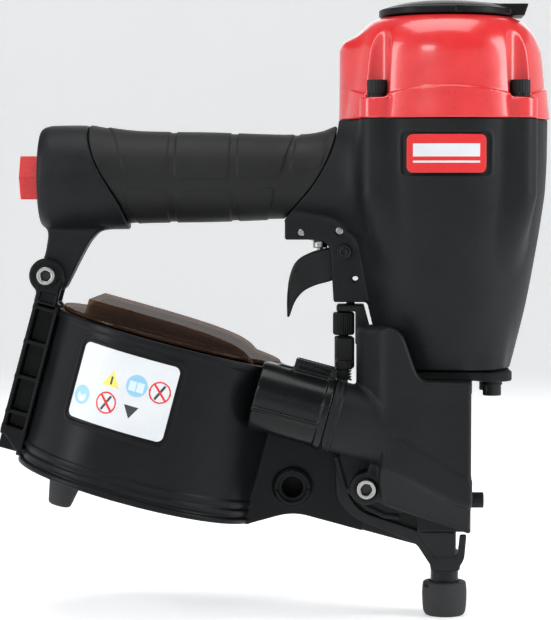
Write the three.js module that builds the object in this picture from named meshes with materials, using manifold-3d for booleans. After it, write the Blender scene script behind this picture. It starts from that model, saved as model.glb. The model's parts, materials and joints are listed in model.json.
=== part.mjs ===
// Pneumatic coil nailer, in millimetres. The head's drive axis is vertical; the magazine and feeder lean
// 15 degrees to it. Every piece is drawn in the drive frame, where x is forward, y is to the operator's left,
// z is up, the drive axis is x = y = 0 and the nose tip rests on z = 0. The whole group is then moved so that
// its footprint is centred on the origin.
import * as THREE from "three";
import { mergeVertices } from "three/addons/utils/BufferGeometryUtils.js";
import Module from "manifold-3d";

const wasm = await Module();
wasm.setup();

// Driving dimensions
const DRIVE_AXIS = { x: 87.3, y: -8 }; // place of the drive axis in the finished frame
const GAP = 0.3; // air left between neighbouring pieces
const WALL = 2.5; // moulded wall thickness
const ROUND = 32; // sides of the large turned pieces
const MIDDLE = 20; // sides of the handle and barrels
const INSIDE = 24; // sides of the hidden pieces in the head
const SMALL = 10; // sides of pins and screws

const HEAD = { jointZ: 247.5, bottomZ: 125.2, floorZ: 129.6, boreTop: 41, boreLow: 30.2, boreStepZ: 176 };
const LABEL = { inner: 50.7, outer: 51.2 }; // radii of the front label, which follows the head
const CAP = { topZ: 299, pocketZ: 258 };
const BOLT = { offset: 34.6, radius: 2.5, headRadius: 4.8 }; // cap bolts, on a square about the drive axis
const CYLINDER = { inner: 25.5, outer: 29, bottomZ: 130, topZ: 240.5 };
const PISTON_TOP = 236;
const BLADE = { radius: 3.3, tipZ: 84 };
const HANDLE = { z: 219.5, core: 18.2, bore: 14.5, grip: 22, end: 26.2, leftX: -202, coreEndX: -177.7 };
const EAR = { inner: 8.8, outer: 13 }; // trigger ears, distances from the middle plane
const PIVOT = { x: -50.5, z: 182.75 }; // trigger pivot
const VALVE = { x: -62.6, floorZ: 188.75 };
const VALVE_PINS = [[-72, 192.25], [-53, 193]]; // cross pins that hold the valve in the ears
const EAR_HOLE = [-45, 169.25];
const LEVER_PIN = { x: -75.1, z: 172.2 };
const SAFETY_ROD = { x: -50.8, wheelLow: 140.8, wheelHigh: 152.6, wheelRadius: 5.4 };
const NOSE = { flangeTop: 124.4, flangeLow: 119.6, bottomZ: 43.5, tubeLow: 15, guardY: -43 };
const TIP = { tubeRadius: 7, tubeLow: 3.2, tubeHigh: 33, rubberRadius: 11.2, rubberHigh: 17.2 };
const CAN = { x: -156.5, y: 8, z: 61.75, radius: 60, height: 80, splitY: 14.5 };
const STRUT = { inner: -59, outer: -72, low: 4, high: 96, eyeX: -69.1, eyeZ: 94.3 };
const NECK = { near: -8.5, far: 10.5, floor: 12, top: 80.6, end: 116 };
const NOSE_BOLT = { x: 22.5, y: 17 }; // screws of the nose flange, on a rectangle about the drive axis
const DOOR_HINGE = { x: 7.6, y: 16, radius: 3.6 };
const LATCH = { x: -28, z: 84 };
const FRONT_BOLT = { x: -39.4, z: 66.6 };
const SIDE_SCREW = { y: -20, z: 60.5 }; // holds the magazine neck to the nose
const COVER_HINGE = { x: -60.5, y: 19 }; // in the sloped frame, as are the next two
const SNAP_RING = { x: 76.6, z: 24.3 };
const PAWL_PIN = { x: 130.5, y: -15.4 };
const FEED = { y: -26, z: 65.7, outer: 17.5, bore: 13.4, seam: 84, left: 47, right: 111.5 };

// Solids and their placing

function solid(geometry) {
  const bare = geometry.index ? geometry.toNonIndexed() : geometry.clone();
  bare.deleteAttribute("normal");
  bare.deleteAttribute("uv");
  const merged = mergeVertices(bare, 1e-4);
  const corners = Array.from(merged.index.array);
  const kept = [];
  for (let i = 0; i < corners.length; i += 3) {
    const [a, b, c] = corners.slice(i, i + 3);
    if (a !== b && b !== c && c !== a) kept.push(a, b, c);
  }
  const vertProperties = merged.attributes.position.array;
  const make = (list) =>
    new wasm.Manifold(new wasm.Mesh({ numProp: 3, vertProperties, triVerts: new Uint32Array(list) }));
  const made = make(kept);
  return made.volume() < 0 ? make(kept.reverse()) : made;
}

const join = (first, ...rest) => rest.reduce((whole, next) => whole.add(next), first);
const cut = (first, ...rest) => rest.reduce((whole, next) => whole.subtract(next), first);

function geometryOf(shape) {
  const mesh = shape.getMesh();
  const points = new Float32Array(mesh.numVert * 3);
  for (let i = 0; i < mesh.numVert; i++) {
    points.set(mesh.vertProperties.subarray(i * mesh.numProp, i * mesh.numProp + 3), i * 3);
  }
  const geometry = new THREE.BufferGeometry();
  geometry.setAttribute("position", new THREE.BufferAttribute(points, 3));
  geometry.setIndex(new THREE.BufferAttribute(mesh.triVerts, 1));
  return geometry;
}

// A block between two values on each axis.
function block([x0, x1], [y0, y1], [z0, z1]) {
  const geometry = new THREE.BoxGeometry(x1 - x0, y1 - y0, z1 - z0);
  return solid(geometry.translate((x0 + x1) / 2, (y0 + y1) / 2, (z0 + z1) / 2));
}

// A round bar or cone from one point to another.
function bar(start, end, radius, sides = SMALL, endRadius = radius) {
  const from = new THREE.Vector3(...start);
  const along = new THREE.Vector3(...end).sub(from);
  const geometry = new THREE.CylinderGeometry(endRadius, radius, along.length(), sides);
  geometry.translate(0, along.length() / 2, 0);
  const turn = new THREE.Quaternion().setFromUnitVectors(new THREE.Vector3(0, 1, 0), along.normalize());
  return solid(geometry.applyQuaternion(turn).translate(...start));
}

const barX = (x0, x1, y, z, radius, sides) => bar([x0, y, z], [x1, y, z], radius, sides);
const barY = (y0, y1, x, z, radius, sides) => bar([x, y0, z], [x, y1, z], radius, sides);
const barZ = (z0, z1, x, y, radius, sides) => bar([x, y, z0], [x, y, z1], radius, sides);

// A profile of [radius, height] points turned about the vertical line through x, y.
function turnedGeometry(profile, sides) {
  const points = profile.map(([radius, height]) => new THREE.Vector2(radius, height));
  return new THREE.LatheGeometry(points, sides).rotateX(Math.PI / 2);
}
const turned = (profile, sides = MIDDLE, x = 0, y = 0) =>
  solid(turnedGeometry(profile, sides).translate(x, y, 0));

// A ring of rectangular section.
const ring = (inner, outer, z0, z1, sides = MIDDLE) =>
  turned([[inner, z0], [outer, z0], [outer, z1], [inner, z1], [inner, z0]], sides);

// The same, turned about the handle's line: profile points are [radius, x].
function turnedAlongX(profile, sides = MIDDLE) {
  const geometry = turnedGeometry(profile, sides).rotateY(Math.PI / 2);
  return solid(geometry.translate(0, 0, HANDLE.z));
}

// A side outline of [x, z] points, as thick as the two y values.
function plate(outline, [y0, y1]) {
  const shape = outline instanceof THREE.Shape ? outline : rounded(outline);
  const options = { depth: y1 - y0, bevelEnabled: false, curveSegments: 3 };
  return solid(new THREE.ExtrudeGeometry(shape, options).rotateX(Math.PI / 2).translate(0, y1, 0));
}

// A side outline whose corners may be rounded: points are [x, z] or [x, z, radius].
function rounded(outline) {
  const corners = outline.map(([x, z]) => new THREE.Vector2(x, z));
  const shape = new THREE.Shape();
  outline.forEach(([x, z, radius = 0], i) => {
    const here = corners[i];
    const before = corners.at(i - 1).clone().sub(here);
    const after = corners[(i + 1) % corners.length].clone().sub(here);
    const reach = Math.min(radius, 0.48 * before.length(), 0.48 * after.length());
    const enter = before.setLength(reach).add(here);
    const leave = after.setLength(reach).add(here);
    if (i === 0) shape.moveTo(enter.x, enter.y);
    else shape.lineTo(enter.x, enter.y);
    if (reach > 0) shape.quadraticCurveTo(x, z, leave.x, leave.y);
  });
  return shape;
}

// Wire wound round a vertical line, closed coils apart by the pitch.
function coil(x, y, z0, z1, radius, wire, turns) {
  const steps = turns * 8;
  const points = [];
  for (let i = 0; i <= steps; i++) {
    const angle = (i / steps) * turns * Math.PI * 2;
    const z = z0 + wire + (i / steps) * (z1 - z0 - 2 * wire);
    points.push(new THREE.Vector3(x + radius * Math.cos(angle), y + radius * Math.sin(angle), z));
  }
  const section = new THREE.Shape();
  section.absarc(0, 0, wire, 0, Math.PI * 2);
  const options = { steps, curveSegments: 2, extrudePath: new THREE.CatmullRomCurve3(points) };
  return solid(new THREE.ExtrudeGeometry(section, options));
}

const alongX = (shape, x, y, z) => shape.rotate([0, 90, 0]).translate([x, y, z]);
const alongY = (shape, x, y, z) => shape.rotate([-90, 0, 0]).translate([x, y, z]);

// From the sloped feed frame: its origin is the middle of the can's floor and its x runs down to the nose.
const sloped = (shape) => shape.rotate([0, 15, 0]).translate([CAN.x, 0, CAN.z]);

// Materials

const look = (colour, roughness, metalness) => () =>
  new THREE.MeshStandardMaterial({ color: colour, roughness, metalness });
const castBlack = look(0x25292c, 0.7, 0.2);
const glossRed = look(0xd8282c, 0.3, 0);
const plasticBlack = look(0x1b1e20, 0.5, 0);
const rubberBlack = look(0x202326, 0.85, 0);
const steel = look(0x9a9da0, 0.35, 0.9);
const blackSteel = look(0x1c1d1f, 0.4, 0.7);
const aluminium = look(0xb9bcbf, 0.4, 0.8);
const smoked = look(0x6b5236, 0.15, 0);
const paperWhite = look(0xeceff2, 0.5, 0);
const sealBlack = look(0x101112, 0.8, 0);

const nailer = new THREE.Group();
nailer.position.set(DRIVE_AXIS.x, DRIVE_AXIS.y, 0);

function add(name, shape, material) {
  const mesh = new THREE.Mesh(geometryOf(shape), material());
  mesh.name = name;
  nailer.add(mesh);
}

// The head: a turned form swollen outwards at four bolt bosses, and at the back towards the handle.
function swollen(profile, bossAt, backAt) {
  const geometry = turnedGeometry(profile, ROUND);
  const at = geometry.attributes.position;
  for (let i = 0; i < at.count; i++) {
    const x = at.getX(i);
    const y = at.getY(i);
    const z = at.getZ(i);
    const radius = Math.hypot(x, y);
    if (radius < 20) continue;
    const angle = Math.atan2(y, x);
    const fromBoss = THREE.MathUtils.degToRad(45) - Math.abs((Math.abs(angle) % (Math.PI / 2)) - Math.PI / 4);
    const boss = Math.exp(-(((Math.PI / 4 - fromBoss) / 0.17) ** 2)) * bossAt(z);
    const back = Math.exp(-(((Math.PI - Math.abs(angle)) / 0.35) ** 2)) * backAt(z);
    const grown = (radius + boss + back) / radius;
    at.setXYZ(i, x * grown, y * grown, z);
  }
  return solid(geometry);
}

const cornerPlaces = [[-1, -1], [1, -1], [1, 1], [-1, 1]];
const fadeDown = (z, low, high) => THREE.MathUtils.smoothstep(z, low, high);
const headProfile = [
  [0, HEAD.bottomZ], [32.2, HEAD.bottomZ], [35.2, 137], [40, 157], [43.6, 176], [47.6, 200],
  [49.6, 214], [50.3, 247.5], [0, 247.5],
];

const valvePinHoles = () => join(...VALVE_PINS.map(([x, z]) => barY(-20, 20, x, z, 1.8, 10)));

function housingBody() {
  const bosses = (z) => 7 * fadeDown(z, 183, 214);
  const outer = swollen(headProfile, bosses, () => 0);
  const handle = turnedAlongX([
    [0, HANDLE.coreEndX], [HANDLE.core, HANDLE.coreEndX], [HANDLE.core, -160], [HANDLE.grip, -150],
    [HANDLE.grip, -74],
    [23, -58], [27.6, -44], [27.6, -20], [0, -20],
  ]);
  const ears = plate(
    rounded([
      [-79, 212], [-79, VALVE.floorZ, 1], [-59.6, VALVE.floorZ, 3], [-57.6, 184, 3], [-55.6, 157.4, 1],
      [-38.5, 157.4], [-30, 212],
    ]),
    [-EAR.outer, EAR.outer],
  );
  const insideHead = turned([[0, 126], [30, 126], [36, 140], [43, 200], [0, 200]], ROUND);
  const rib = plate([[-42.5, 151.5], [-30, 151.5], [-30, 127], [-37.5, 127], [-42.5, 136]], [-2.4, 2.4]);
  const casting = join(cut(join(handle, ears), gripEnvelope()), outer, cut(rib, insideHead));
  const cavity = turned([
    [0, 116], [21, 116], [21, HEAD.floorZ], [HEAD.boreLow, HEAD.floorZ], [HEAD.boreLow, HEAD.boreStepZ],
    [HEAD.boreTop, 186],
    [HEAD.boreTop, 250], [0, 250],
  ], ROUND);
  const handleBore = barX(-180, -35, 0, HANDLE.z, HANDLE.bore, MIDDLE);
  const earSlot = block([-85, -30], [-EAR.inner, EAR.inner], [150, VALVE.floorZ]);
  const valveBore = join(
    barZ(180, 204, VALVE.x, 0, 7.1, 20),
    barZ(200, 210, VALVE.x, 0, 3, 12),
  );
  const pinHoles = join(
    valvePinHoles(),
    barY(-20, 20, PIVOT.x, PIVOT.z, 2.5),
    barY(-20, 20, ...EAR_HOLE, 1.5, 8),
  );
  const boltHoles = join(
    ...cornerPlaces.map(([sx, sy]) => barZ(224, 250, sx * BOLT.offset, sy * BOLT.offset, 2.9, 12)),
    ...cornerPlaces.map(([sx, sy]) => barZ(120, 128.8, sx * NOSE_BOLT.x, sy * NOSE_BOLT.y, 1.7, 10)),
  );
  return cut(casting, cavity, handleBore, cut(earSlot, insideHead), valveBore, pinHoles, boltHoles);
}

function cylinderCap() {
  const profile = [
    [0, 248.4], [50.4, 248.4], [49.6, 257.4], [49.2, 259], [48.4, 268], [47.2, 281], [45.2, 287.5],
    [40.6, 294],
    [33.6, 298.2], [24, CAP.topZ], [0, CAP.topZ],
  ];
  const bosses = (z) => (z < CAP.pocketZ ? 6.5 : 2.4 * (1 - fadeDown(z, 284, 296)));
  const lobe = (z) => 2.6 * (1 - fadeDown(z, 288, 297));
  const outer = swollen(profile, bosses, lobe);
  const pockets = cornerPlaces.flatMap(([sx, sy]) => [
    barZ(CAP.pocketZ, 300, sx * BOLT.offset, sy * BOLT.offset, 6.4, 16),
    barZ(240, 300, sx * BOLT.offset, sy * BOLT.offset, 2.9, 12),
  ]);
  const hollow = turned([
    [0, 240], [41, 240], [41, 262], [36, 270], [34, 286], [12, 292], [12, 305], [0, 305],
  ], ROUND);
  return cut(outer, ...pockets, hollow);
}

function capBolt([sx, sy]) {
  const [x, y] = [sx * BOLT.offset, sy * BOLT.offset];
  const washer = barZ(CAP.pocketZ, CAP.pocketZ + 2, x, y, BOLT.headRadius + 0.3, SMALL);
  const head = barZ(CAP.pocketZ + 1.9, CAP.pocketZ + 8.6, x, y, BOLT.headRadius, SMALL);
  const socket = barZ(CAP.pocketZ + 5, CAP.pocketZ + 10, x, y, 2.4, 6);
  return cut(join(barZ(226, CAP.pocketZ + 3, x, y, BOLT.radius, 12), washer, head), socket);
}

function exhaustDeflector() {
  const disc = turned([
    [0, 299.4], [31.5, 299.4], [33.5, 301], [33.5, 303.4], [28, 306.2], [7, 307.2], [7, 305.4], [0, 305.4],
  ], ROUND);
  const lip = block([24, 40.5], [-12, 12], [299.6, 305]);
  const chamber = turned([[11, 298], [29, 298], [29, 303.4], [11, 303.4], [11, 298]], MIDDLE);
  const outlet = block([26, 42], [-10, 10], [301.2, 303.6]);
  const notch = block([4, 9.5], [-34.5, -30.5], [299, 303.5]);
  const hub = barZ(290, 312, 0, 0, 2.5, 12);
  return cut(join(disc, lip), chamber, outlet, notch, hub);
}

// Moving and sealing pieces inside the head.
function headPieces() {
  add("cap_gasket", cut(
    ring(42.5, 49, HEAD.jointZ + 0.1, 248.3, INSIDE),
    ...cornerPlaces.map(([sx, sy]) => barZ(240, 255, sx * BOLT.offset, sy * BOLT.offset, 5, 12)),
  ), sealBlack);
  add("head_valve", turned([
    [24, 241.2], [38, 241.2], [38, 248], [33, 249.5], [33, 256.5], [24, 256.5], [24, 241.2],
  ], INSIDE), plasticBlack);
  add("head_valve_spring", coil(0, 0, 257, 283.6, 28.5, 1.2, 3), steel);
  add("drive_cylinder", turned([
    [CYLINDER.inner, CYLINDER.bottomZ], [CYLINDER.outer, CYLINDER.bottomZ], [CYLINDER.outer, 187],
    [34, 190], [34, 193], [CYLINDER.outer, 196], [CYLINDER.outer, CYLINDER.topZ],
    [CYLINDER.inner, CYLINDER.topZ],
    [CYLINDER.inner, CYLINDER.bottomZ],
  ], INSIDE), aluminium);
  add("cylinder_seal", ring(CYLINDER.outer + 0.1, HEAD.boreLow - 0.3, 165, 168, INSIDE), sealBlack);
  add("drive_piston", cut(turned([
    [0, 226], [24, 226], [25.1, 227], [25.1, 229.4], [22.4, 229.4], [22.4, 232.6], [25.1, 232.6],
    [25.1, PISTON_TOP],
    [18, PISTON_TOP], [18, 232], [0, 232],
  ], INSIDE), barZ(220, 240, 0, 0, BLADE.radius + 0.05, SMALL)), aluminium);
  add("piston_ring", ring(22.6, 25.3, 229.6, 232.4, INSIDE), sealBlack);
  add("driver_blade", cut(
    join(barZ(BLADE.tipZ, 232.4, 0, 0, BLADE.radius, SMALL), barZ(232.1, 234.6, 0, 0, 6, SMALL)),
    barZ(233.6, 236, 0, 0, 2.2, 6),
  ), steel);
  add("bumper", turned([
    [4.4, 130.4], [19, 130.4], [24.8, 133], [24.8, 140], [19, 150], [4.4, 150], [4.4, 130.4],
  ], INSIDE), rubberBlack);
}

// The grip's two ends are cut on slanted planes; the envelope is the casting's recess for it.
const slant = [[-176.5, 245], [-163, 194], [-80, 194], [-53.5, 245]];
const slantGrown = [[-176.9, 245], [-163.4, 194], [-79.6, 194], [-53.1, 245]];
const gripEnvelope = () => cut(
  plate(slantGrown, [-30, 30]),
  barX(-190, -40, 0, HANDLE.z, HANDLE.core, MIDDLE),
);

function handleGrip() {
  const outer = turnedAlongX([
    [0, -190], [25.3, -190], [25.3, -172], [24.4, -164], [22.5, -153], [HANDLE.grip, -140],
    [HANDLE.grip, -74],
    [22.8, -64], [25, -50], [0, -50],
  ]);
  const core = barX(-190, -40, 0, HANDLE.z, HANDLE.core + GAP, MIDDLE);
  return cut(outer.intersect(plate(slant, [-30, 30])), core);
}

function handleEndCap() {
  const barrel = turnedAlongX([
    [0, HANDLE.leftX], [22.5, HANDLE.leftX], [25, -200], [HANDLE.end, -196], [HANDLE.end, -155], [0, -155],
  ]).intersect(plate([[-210, 250], [-178.2, 250], [-163.4, 190], [-210, 190]], [-30, 30]));
  const hanger = plate(
    rounded([
      [-199, 205], [-198.8, 180, 8], [-206.5, 170, 7], [-199, 162.6, 7], [-190.5, 164, 3],
      [-183.5, 177, 10],
      [-176, 189, 8], [-168, 198], [-172, 205],
    ]),
    [-7, 7],
  );
  const hollow = turnedAlongX([
    [0, -205], [9, -205], [9, -196.5], [HANDLE.bore + 2, -196.5], [HANDLE.bore + 2, -179],
    [HANDLE.core + GAP, -179],
    [HANDLE.core + GAP, -150], [0, -150],
  ]);
  return cut(join(barrel, hanger), hollow, barY(-12, 12, -198.8, 170.75, 3.3));
}

function handlePieces() {
  add("handle_grip", handleGrip(), rubberBlack);
  add("handle_end_cap", handleEndCap(), castBlack);
  add("air_filter", turnedAlongX([
    [9.5, -196.2], [16.1, -196.2], [16.1, -180], [9.5, -180], [9.5, -196.2],
  ], 20), steel);
  const hex = barX(-212.5, -202.4, 0, HANDLE.z, 12.4, 6);
  const spigot = barX(-202.6, -190, 0, HANDLE.z, 8.6, 16);
  add("inlet_plug", join(hex, spigot), glossRed);
}

function triggerPieces() {
  const side = rounded([
    [-46.5, 186.5, 3], [-58.5, 184.6], [-67, 183], [-75.5, 177.6, 3], [-78.6, 170], [-79.4, 159, 4],
    [-79, 150.2],
    [-77.8, 150.2], [-75.6, 157.5, 4], [-71, 163.2, 5], [-57.5, 167.8], [-46.2, 173, 4],
  ]);
  const channel = plate(
    rounded([[-44, 190], [-74.4, 190], [-77, 170.6, 2], [-70.6, 166.6, 2], [-57, 171], [-44, 171]]),
    [-5, 5],
  );
  const leverPin = barY(-7.8, 7.8, LEVER_PIN.x, LEVER_PIN.z, 1, 10);
  const pivotHole = barY(-9, 9, PIVOT.x, PIVOT.z, 2.5);
  add("trigger", join(cut(plate(side, [-7.5, 7.5]), channel, pivotHole), leverPin), blackSteel);
  add("trigger_pivot_pin", join(
    barY(-14, 14, PIVOT.x, PIVOT.z, 2.2),
    barY(-14.9, -13.2, PIVOT.x, PIVOT.z, 3.75),
  ), blackSteel);
  add("trigger_spring", alongY(coil(0, 0, -4.4, 4.4, 3.2, 0.45, 4), PIVOT.x, 0, PIVOT.z), steel);
  const lever = plate([
    [-76.1, 171.2], [-74.6, 170], [-58, 173.4], [-45.5, 172.2], [-45.5, 174.6], [-56, 176.4], [-60, 179.2],
    [-65, 179.2], [-69, 176.5], [-75.4, 174.4], [-76.1, 173.4],
  ], [-4.4, 4.4]);
  add("trigger_lever", cut(lever, barY(-9, 9, LEVER_PIN.x, LEVER_PIN.z, 1.3, 10)), steel);

  const bushing = turned([
    [1.9, 184.6], [3.7, 184.6], [3.7, 188.2], [6.8, 188.9], [6.8, 203.4], [5.7, 203.4], [5.7, 193.4],
    [1.9, 193.4],
    [1.9, 184.6],
  ], 20, VALVE.x);
  add("valve_bushing", cut(bushing, valvePinHoles()), steel);
  add("valve_stem", turned([
    [0, 182.4], [1.1, 182.4], [1.6, 183], [1.6, 193.8], [5.2, 193.8], [5.2, 195.8], [1.6, 195.8],
    [1.6, 199], [0, 199],
  ], SMALL, VALVE.x), steel);
  add("valve_spring", coil(VALVE.x, 0, 196.1, 203.3, 4.2, 0.5, 4), steel);
  ["valve_pin_rear", "valve_pin_front"].forEach((name, i) => {
    const [x, z] = VALVE_PINS[i];
    add(name, barY(-13.3, 13.3, x, z, 1.5, 10), steel);
  });
}

// Safety linkage: a yoke holds the depth wheel, whose thread sets how far down the lower arm stands.
function safetyPieces() {
  const { x, wheelLow, wheelHigh, wheelRadius } = SAFETY_ROD;
  const yoke = join(
    block([-54.4, -40.4], [-7.5, 7.5], [wheelHigh + GAP, 156.4]),
    cut(block([-45, -37], [-7.5, 7.5], [136.5, 153.5]), block([-43.2, -30], [-3.2, 3.2], [130, 152.2])),
    block([-49.4, -46.4], [-4.2, 4.2], [155, 164.2]),
  );
  const headFlare = turned([
    [0, 120], [33.6, 120], [37.8, 137], [39.4, 143.4], [40.8, 149], [42.6, 158], [0, 158],
  ], ROUND);
  const riser = block([-47.4, -45.2], [-4, 4], [160, 164.2]);
  add("upper_safety_arm", cut(join(yoke, riser), headFlare, barZ(150, 158, x, 0, 2.9, 12)), blackSteel);

  const knurl = [];
  for (let i = 0; i < 32; i++) {
    const angle = (i / 32) * Math.PI * 2;
    const radius = i % 2 ? wheelRadius - 0.5 : wheelRadius;
    knurl.push(new THREE.Vector2(radius * Math.cos(angle), radius * Math.sin(angle)));
  }
  const height = wheelHigh - wheelLow;
  const wheel = new THREE.ExtrudeGeometry(new THREE.Shape(knurl), { depth: height, bevelEnabled: false });
  add("depth_wheel", cut(
    solid(wheel.translate(x, 0, wheelLow)),
    barZ(138, 156, x, 0, 2.9, 12),
  ), blackSteel);
  add("lower_safety_arm", lowerSafetyArm(), blackSteel);
  add("safety_spring", coil(x, 0, 117.9, 124, 3.6, 0.6, 4), steel);
  add("contact_tube", ring(6.2, TIP.tubeRadius, TIP.tubeLow, TIP.tubeHigh, 24), blackSteel);
  add("no_mar_tip", turned([
    [5, 0], [9.6, 0], [TIP.rubberRadius, 2], [TIP.rubberRadius, 13.5], [10.4, TIP.rubberHigh],
    [7.3, TIP.rubberHigh],
    [7.3, 2.9], [5, 2.9], [5, 0],
  ], MIDDLE), rubberBlack);
}

function lowerSafetyArm() {
  const { x, wheelLow } = SAFETY_ROD;
  const sleeve = join(
    barZ(124.4, wheelLow - 0.4, x, 0, 4.6, 20),
    block([-54.6, -45.4], [-6, 4.4], [124.4, wheelLow - 1]),
  );
  const thread = barZ(wheelLow - 1, 151.6, x, 0, 2.5, 12);
  const shoulder = block([-54.6, -46.4], [-11.7, 0], [124.4, 128.5]);
  const strip = plate(
    rounded([
      [-54.6, 128.5], [-54.6, 60, 8], [-47, 50.5, 6], [-14.5, 37.4, 3], [-5, 23.6], [4.8, 23.6],
      [9.4, 29.5, 3],
      [10.4, 42, 1], [7.5, 42, 1], [6.4, 33, 2], [4.8, 31], [4.8, 43.5], [-12, 43.5, 3], [-42, 53.5, 6],
      [-48.6, 62, 5], [-48.6, 128.5],
    ]),
    [-11.7, -9.4],
  );
  const foot = block([-7, 7], [-11.7, -4], [24, 31]);
  return join(join(sleeve, thread, shoulder, strip), cut(foot, barZ(20, 40, 0, 0, TIP.tubeRadius + GAP, 24)));
}

// Nose casting: flange, drive block with its nail channel, guard over the safety arm, and the feeder barrel.
function noseBody() {
  const flange = cut(
    block([-32, 32], [-25, 25], [NOSE.flangeLow, NOSE.flangeTop]),
    ...cornerPlaces.map(([sx, sy]) => barZ(110, 130, sx * NOSE_BOLT.x, sy * NOSE_BOLT.y, 2.8, 12)),
  );
  const driveBlock = block([-14, 12], [-8.6, 11.5], [NOSE.bottomZ, NOSE.flangeLow + 0.5]);
  const snout = barZ(NOSE.tubeLow, NOSE.bottomZ + 2, 0, 0, 5.8, 20);
  const stripGuide = sloped(block([NECK.end + 0.6, 144], [NECK.near, 11.5], [NECK.floor + 2, NECK.top]));
  const channel = sloped(block([90, 151.3], [-5, 14], [NECK.floor + 5, NECK.top - 3]));
  const bore = barZ(5, 130, 0, 0, 4.2, 16);
  const pawlWindow = sloped(block([108, 146], [-12, -4], [56, 74]));
  const behindAxis = block([5, 30], [-4.9, 30], [0, 130]);
  const core = cut(join(driveBlock, stripGuide), cut(channel, behindAxis), pawlWindow);
  const body = cut(join(flange, core, snout, guard(), feederBarrel(), doorLugs()), bore, ...feederBores());
  const aroundHead = turned([
    [0, HEAD.bottomZ - 0.6], [33, HEAD.bottomZ - 0.6], [36, 137], [39.4, 150], [0, 150],
  ], ROUND);
  const frontHole = barY(-50, 20, FRONT_BOLT.x, FRONT_BOLT.z, 3.3);
  const sideHole = barX(4, 30, SIDE_SCREW.y, SIDE_SCREW.z, 1.9, 10);
  return cut(body, aroundHead, frontHole, sideHole);
}

function guard() {
  const raised = rounded([
    [-44.5, 147, 4], [-23, 147, 8], [-15.2, 124.4, 5], [-11.8, 120.6, 4], [11.3, 120, 2], [11.3, 59, 3],
    [4, 60.5, 3], [-25.5, 77, 4], [-30.5, 86], [-30.5, 98], [-44.5, 100],
  ]);
  const lowered = rounded([
    [11.3, 76], [11.3, 45, 1], [-22, 55.2, 3], [-44, 60.4, 7], [-48.4, 77, 6], [-30, 88], [-10, 88],
  ]);
  const hollow = rounded([
    [-42, 144.4, 3], [-24.6, 144.4, 6], [-17.7, 123.8, 4], [-12.6, 117.9, 3], [8.8, 117.4], [8.8, 62.2],
    [4.6, 63.2],
    [-23.5, 79.4, 3], [-28, 88], [-28, 100], [-42, 102],
  ]);
  const shell = cut(plate(raised, [NOSE.guardY, -13.2]), plate(hollow, [NOSE.guardY + WALL, -10]));
  const skirt = plate(lowered, [-27, -23]);
  const skirtHollow = plate(hollow, [NOSE.guardY + WALL, -10]);
  const bossFoot = barY(-27, -12.4, FRONT_BOLT.x, FRONT_BOLT.z, 8);
  const ribTop = block([-12, 12], [-32, -8], [112.5, NOSE.flangeLow + 0.5]);
  const ribFront = block([8.8, 11.3], [-32, -8], [60, 114]);
  return join(cut(join(shell, skirt), skirtHollow), ribTop, ribFront, cut(bossFoot, skirtHollow));
}

function feederBarrel() {
  const outer = alongSlope(FEED.seam + GAP, FEED.right, FEED.outer);
  const seamRing = alongSlope(FEED.seam + GAP, FEED.seam + 5, FEED.outer + 0.8);
  const keepOut = block([-200, 40], [-12.2, 0], [0, 200]);
  return cut(join(outer, seamRing), keepOut);
}
const feederBores = () => [
  alongSlope(FEED.seam - 2, FEED.right - 4, FEED.bore),
  alongSlope(FEED.right - 6, FEED.right + 10, 3.4),
];
const alongSlope = (x0, x1, radius, sides = MIDDLE) => sloped(barX(x0, x1, FEED.y, FEED.z, radius, sides));

function noseScrew([sx, sy]) {
  const [x, y] = [sx * NOSE_BOLT.x, sy * NOSE_BOLT.y];
  const washer = barZ(117.6, 119.5, x, y, 5.2, SMALL);
  const head = barZ(112.1, 117.9, x, y, 4.4, SMALL);
  const socket = barZ(110.3, 114.3, x, y, 2.2, 6);
  return cut(join(washer, head, barZ(117, 128.5, x, y, 1.5, 10)), socket);
}

function feederPieces() {
  const besideCan = turned([
    [0, -5], [62.2, -5], [62.2, 12.6], [60.4, 13], [60.4, 95], [0, 95], [0, -5],
  ], ROUND, 0, CAN.y);
  const shellBody = cut(
    alongSlope(FEED.left, FEED.seam, FEED.outer),
    alongSlope(FEED.left + 3, FEED.seam + 2, FEED.bore),
    block([-200, 0], [-12.2, 0], [0, 200]),
    sloped(besideCan),
  );
  const tab = sloped(cut(block([62, 83], [-32, -20], [80, 88.5]), block([60, 85], [-30, -22], [85, 90])));
  add("feeder_cap", join(shellBody, tab), plasticBlack);
  const disc = sloped(barX(98, 104, FEED.y, FEED.z, FEED.bore - 0.35, MIDDLE));
  const rod = sloped(barX(103, 128, FEED.y, FEED.z, 2.4, 10));
  const carrier = sloped(join(
    block([125, 129], [-32.2, -13], [61, 70.4]),
    block([126.2, 135], [-18, -13], [59, 61.5]),
    block([126.2, 135], [-18, -13], [69.9, 72.4]),
  ));
  const pinHole = sloped(barZ(50, 80, PAWL_PIN.x, PAWL_PIN.y, 1.4, 10));
  const pin = sloped(barZ(60, 71, PAWL_PIN.x, PAWL_PIN.y, 1, 10));
  const fork = sloped(block([124, 136], [-19, -12], [61.5, 69.9]));
  add("feeder_piston", join(cut(join(disc, rod, carrier), fork), pin), aluminium);
  add("feeder_spring", sloped(alongX(coil(0, 0, 56, 97.6, 8, 0.9, 5), 0, FEED.y, FEED.z)), steel);
  const pawl = sloped(join(
    block([127.5, 143], [-17, -13.8], [61.9, 69.5]),
    block([138.5, 143], [-16, -3.6], [61.9, 69.5]),
  ));
  add("feed_pawl", cut(pawl, pinHole), steel);
}

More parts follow.
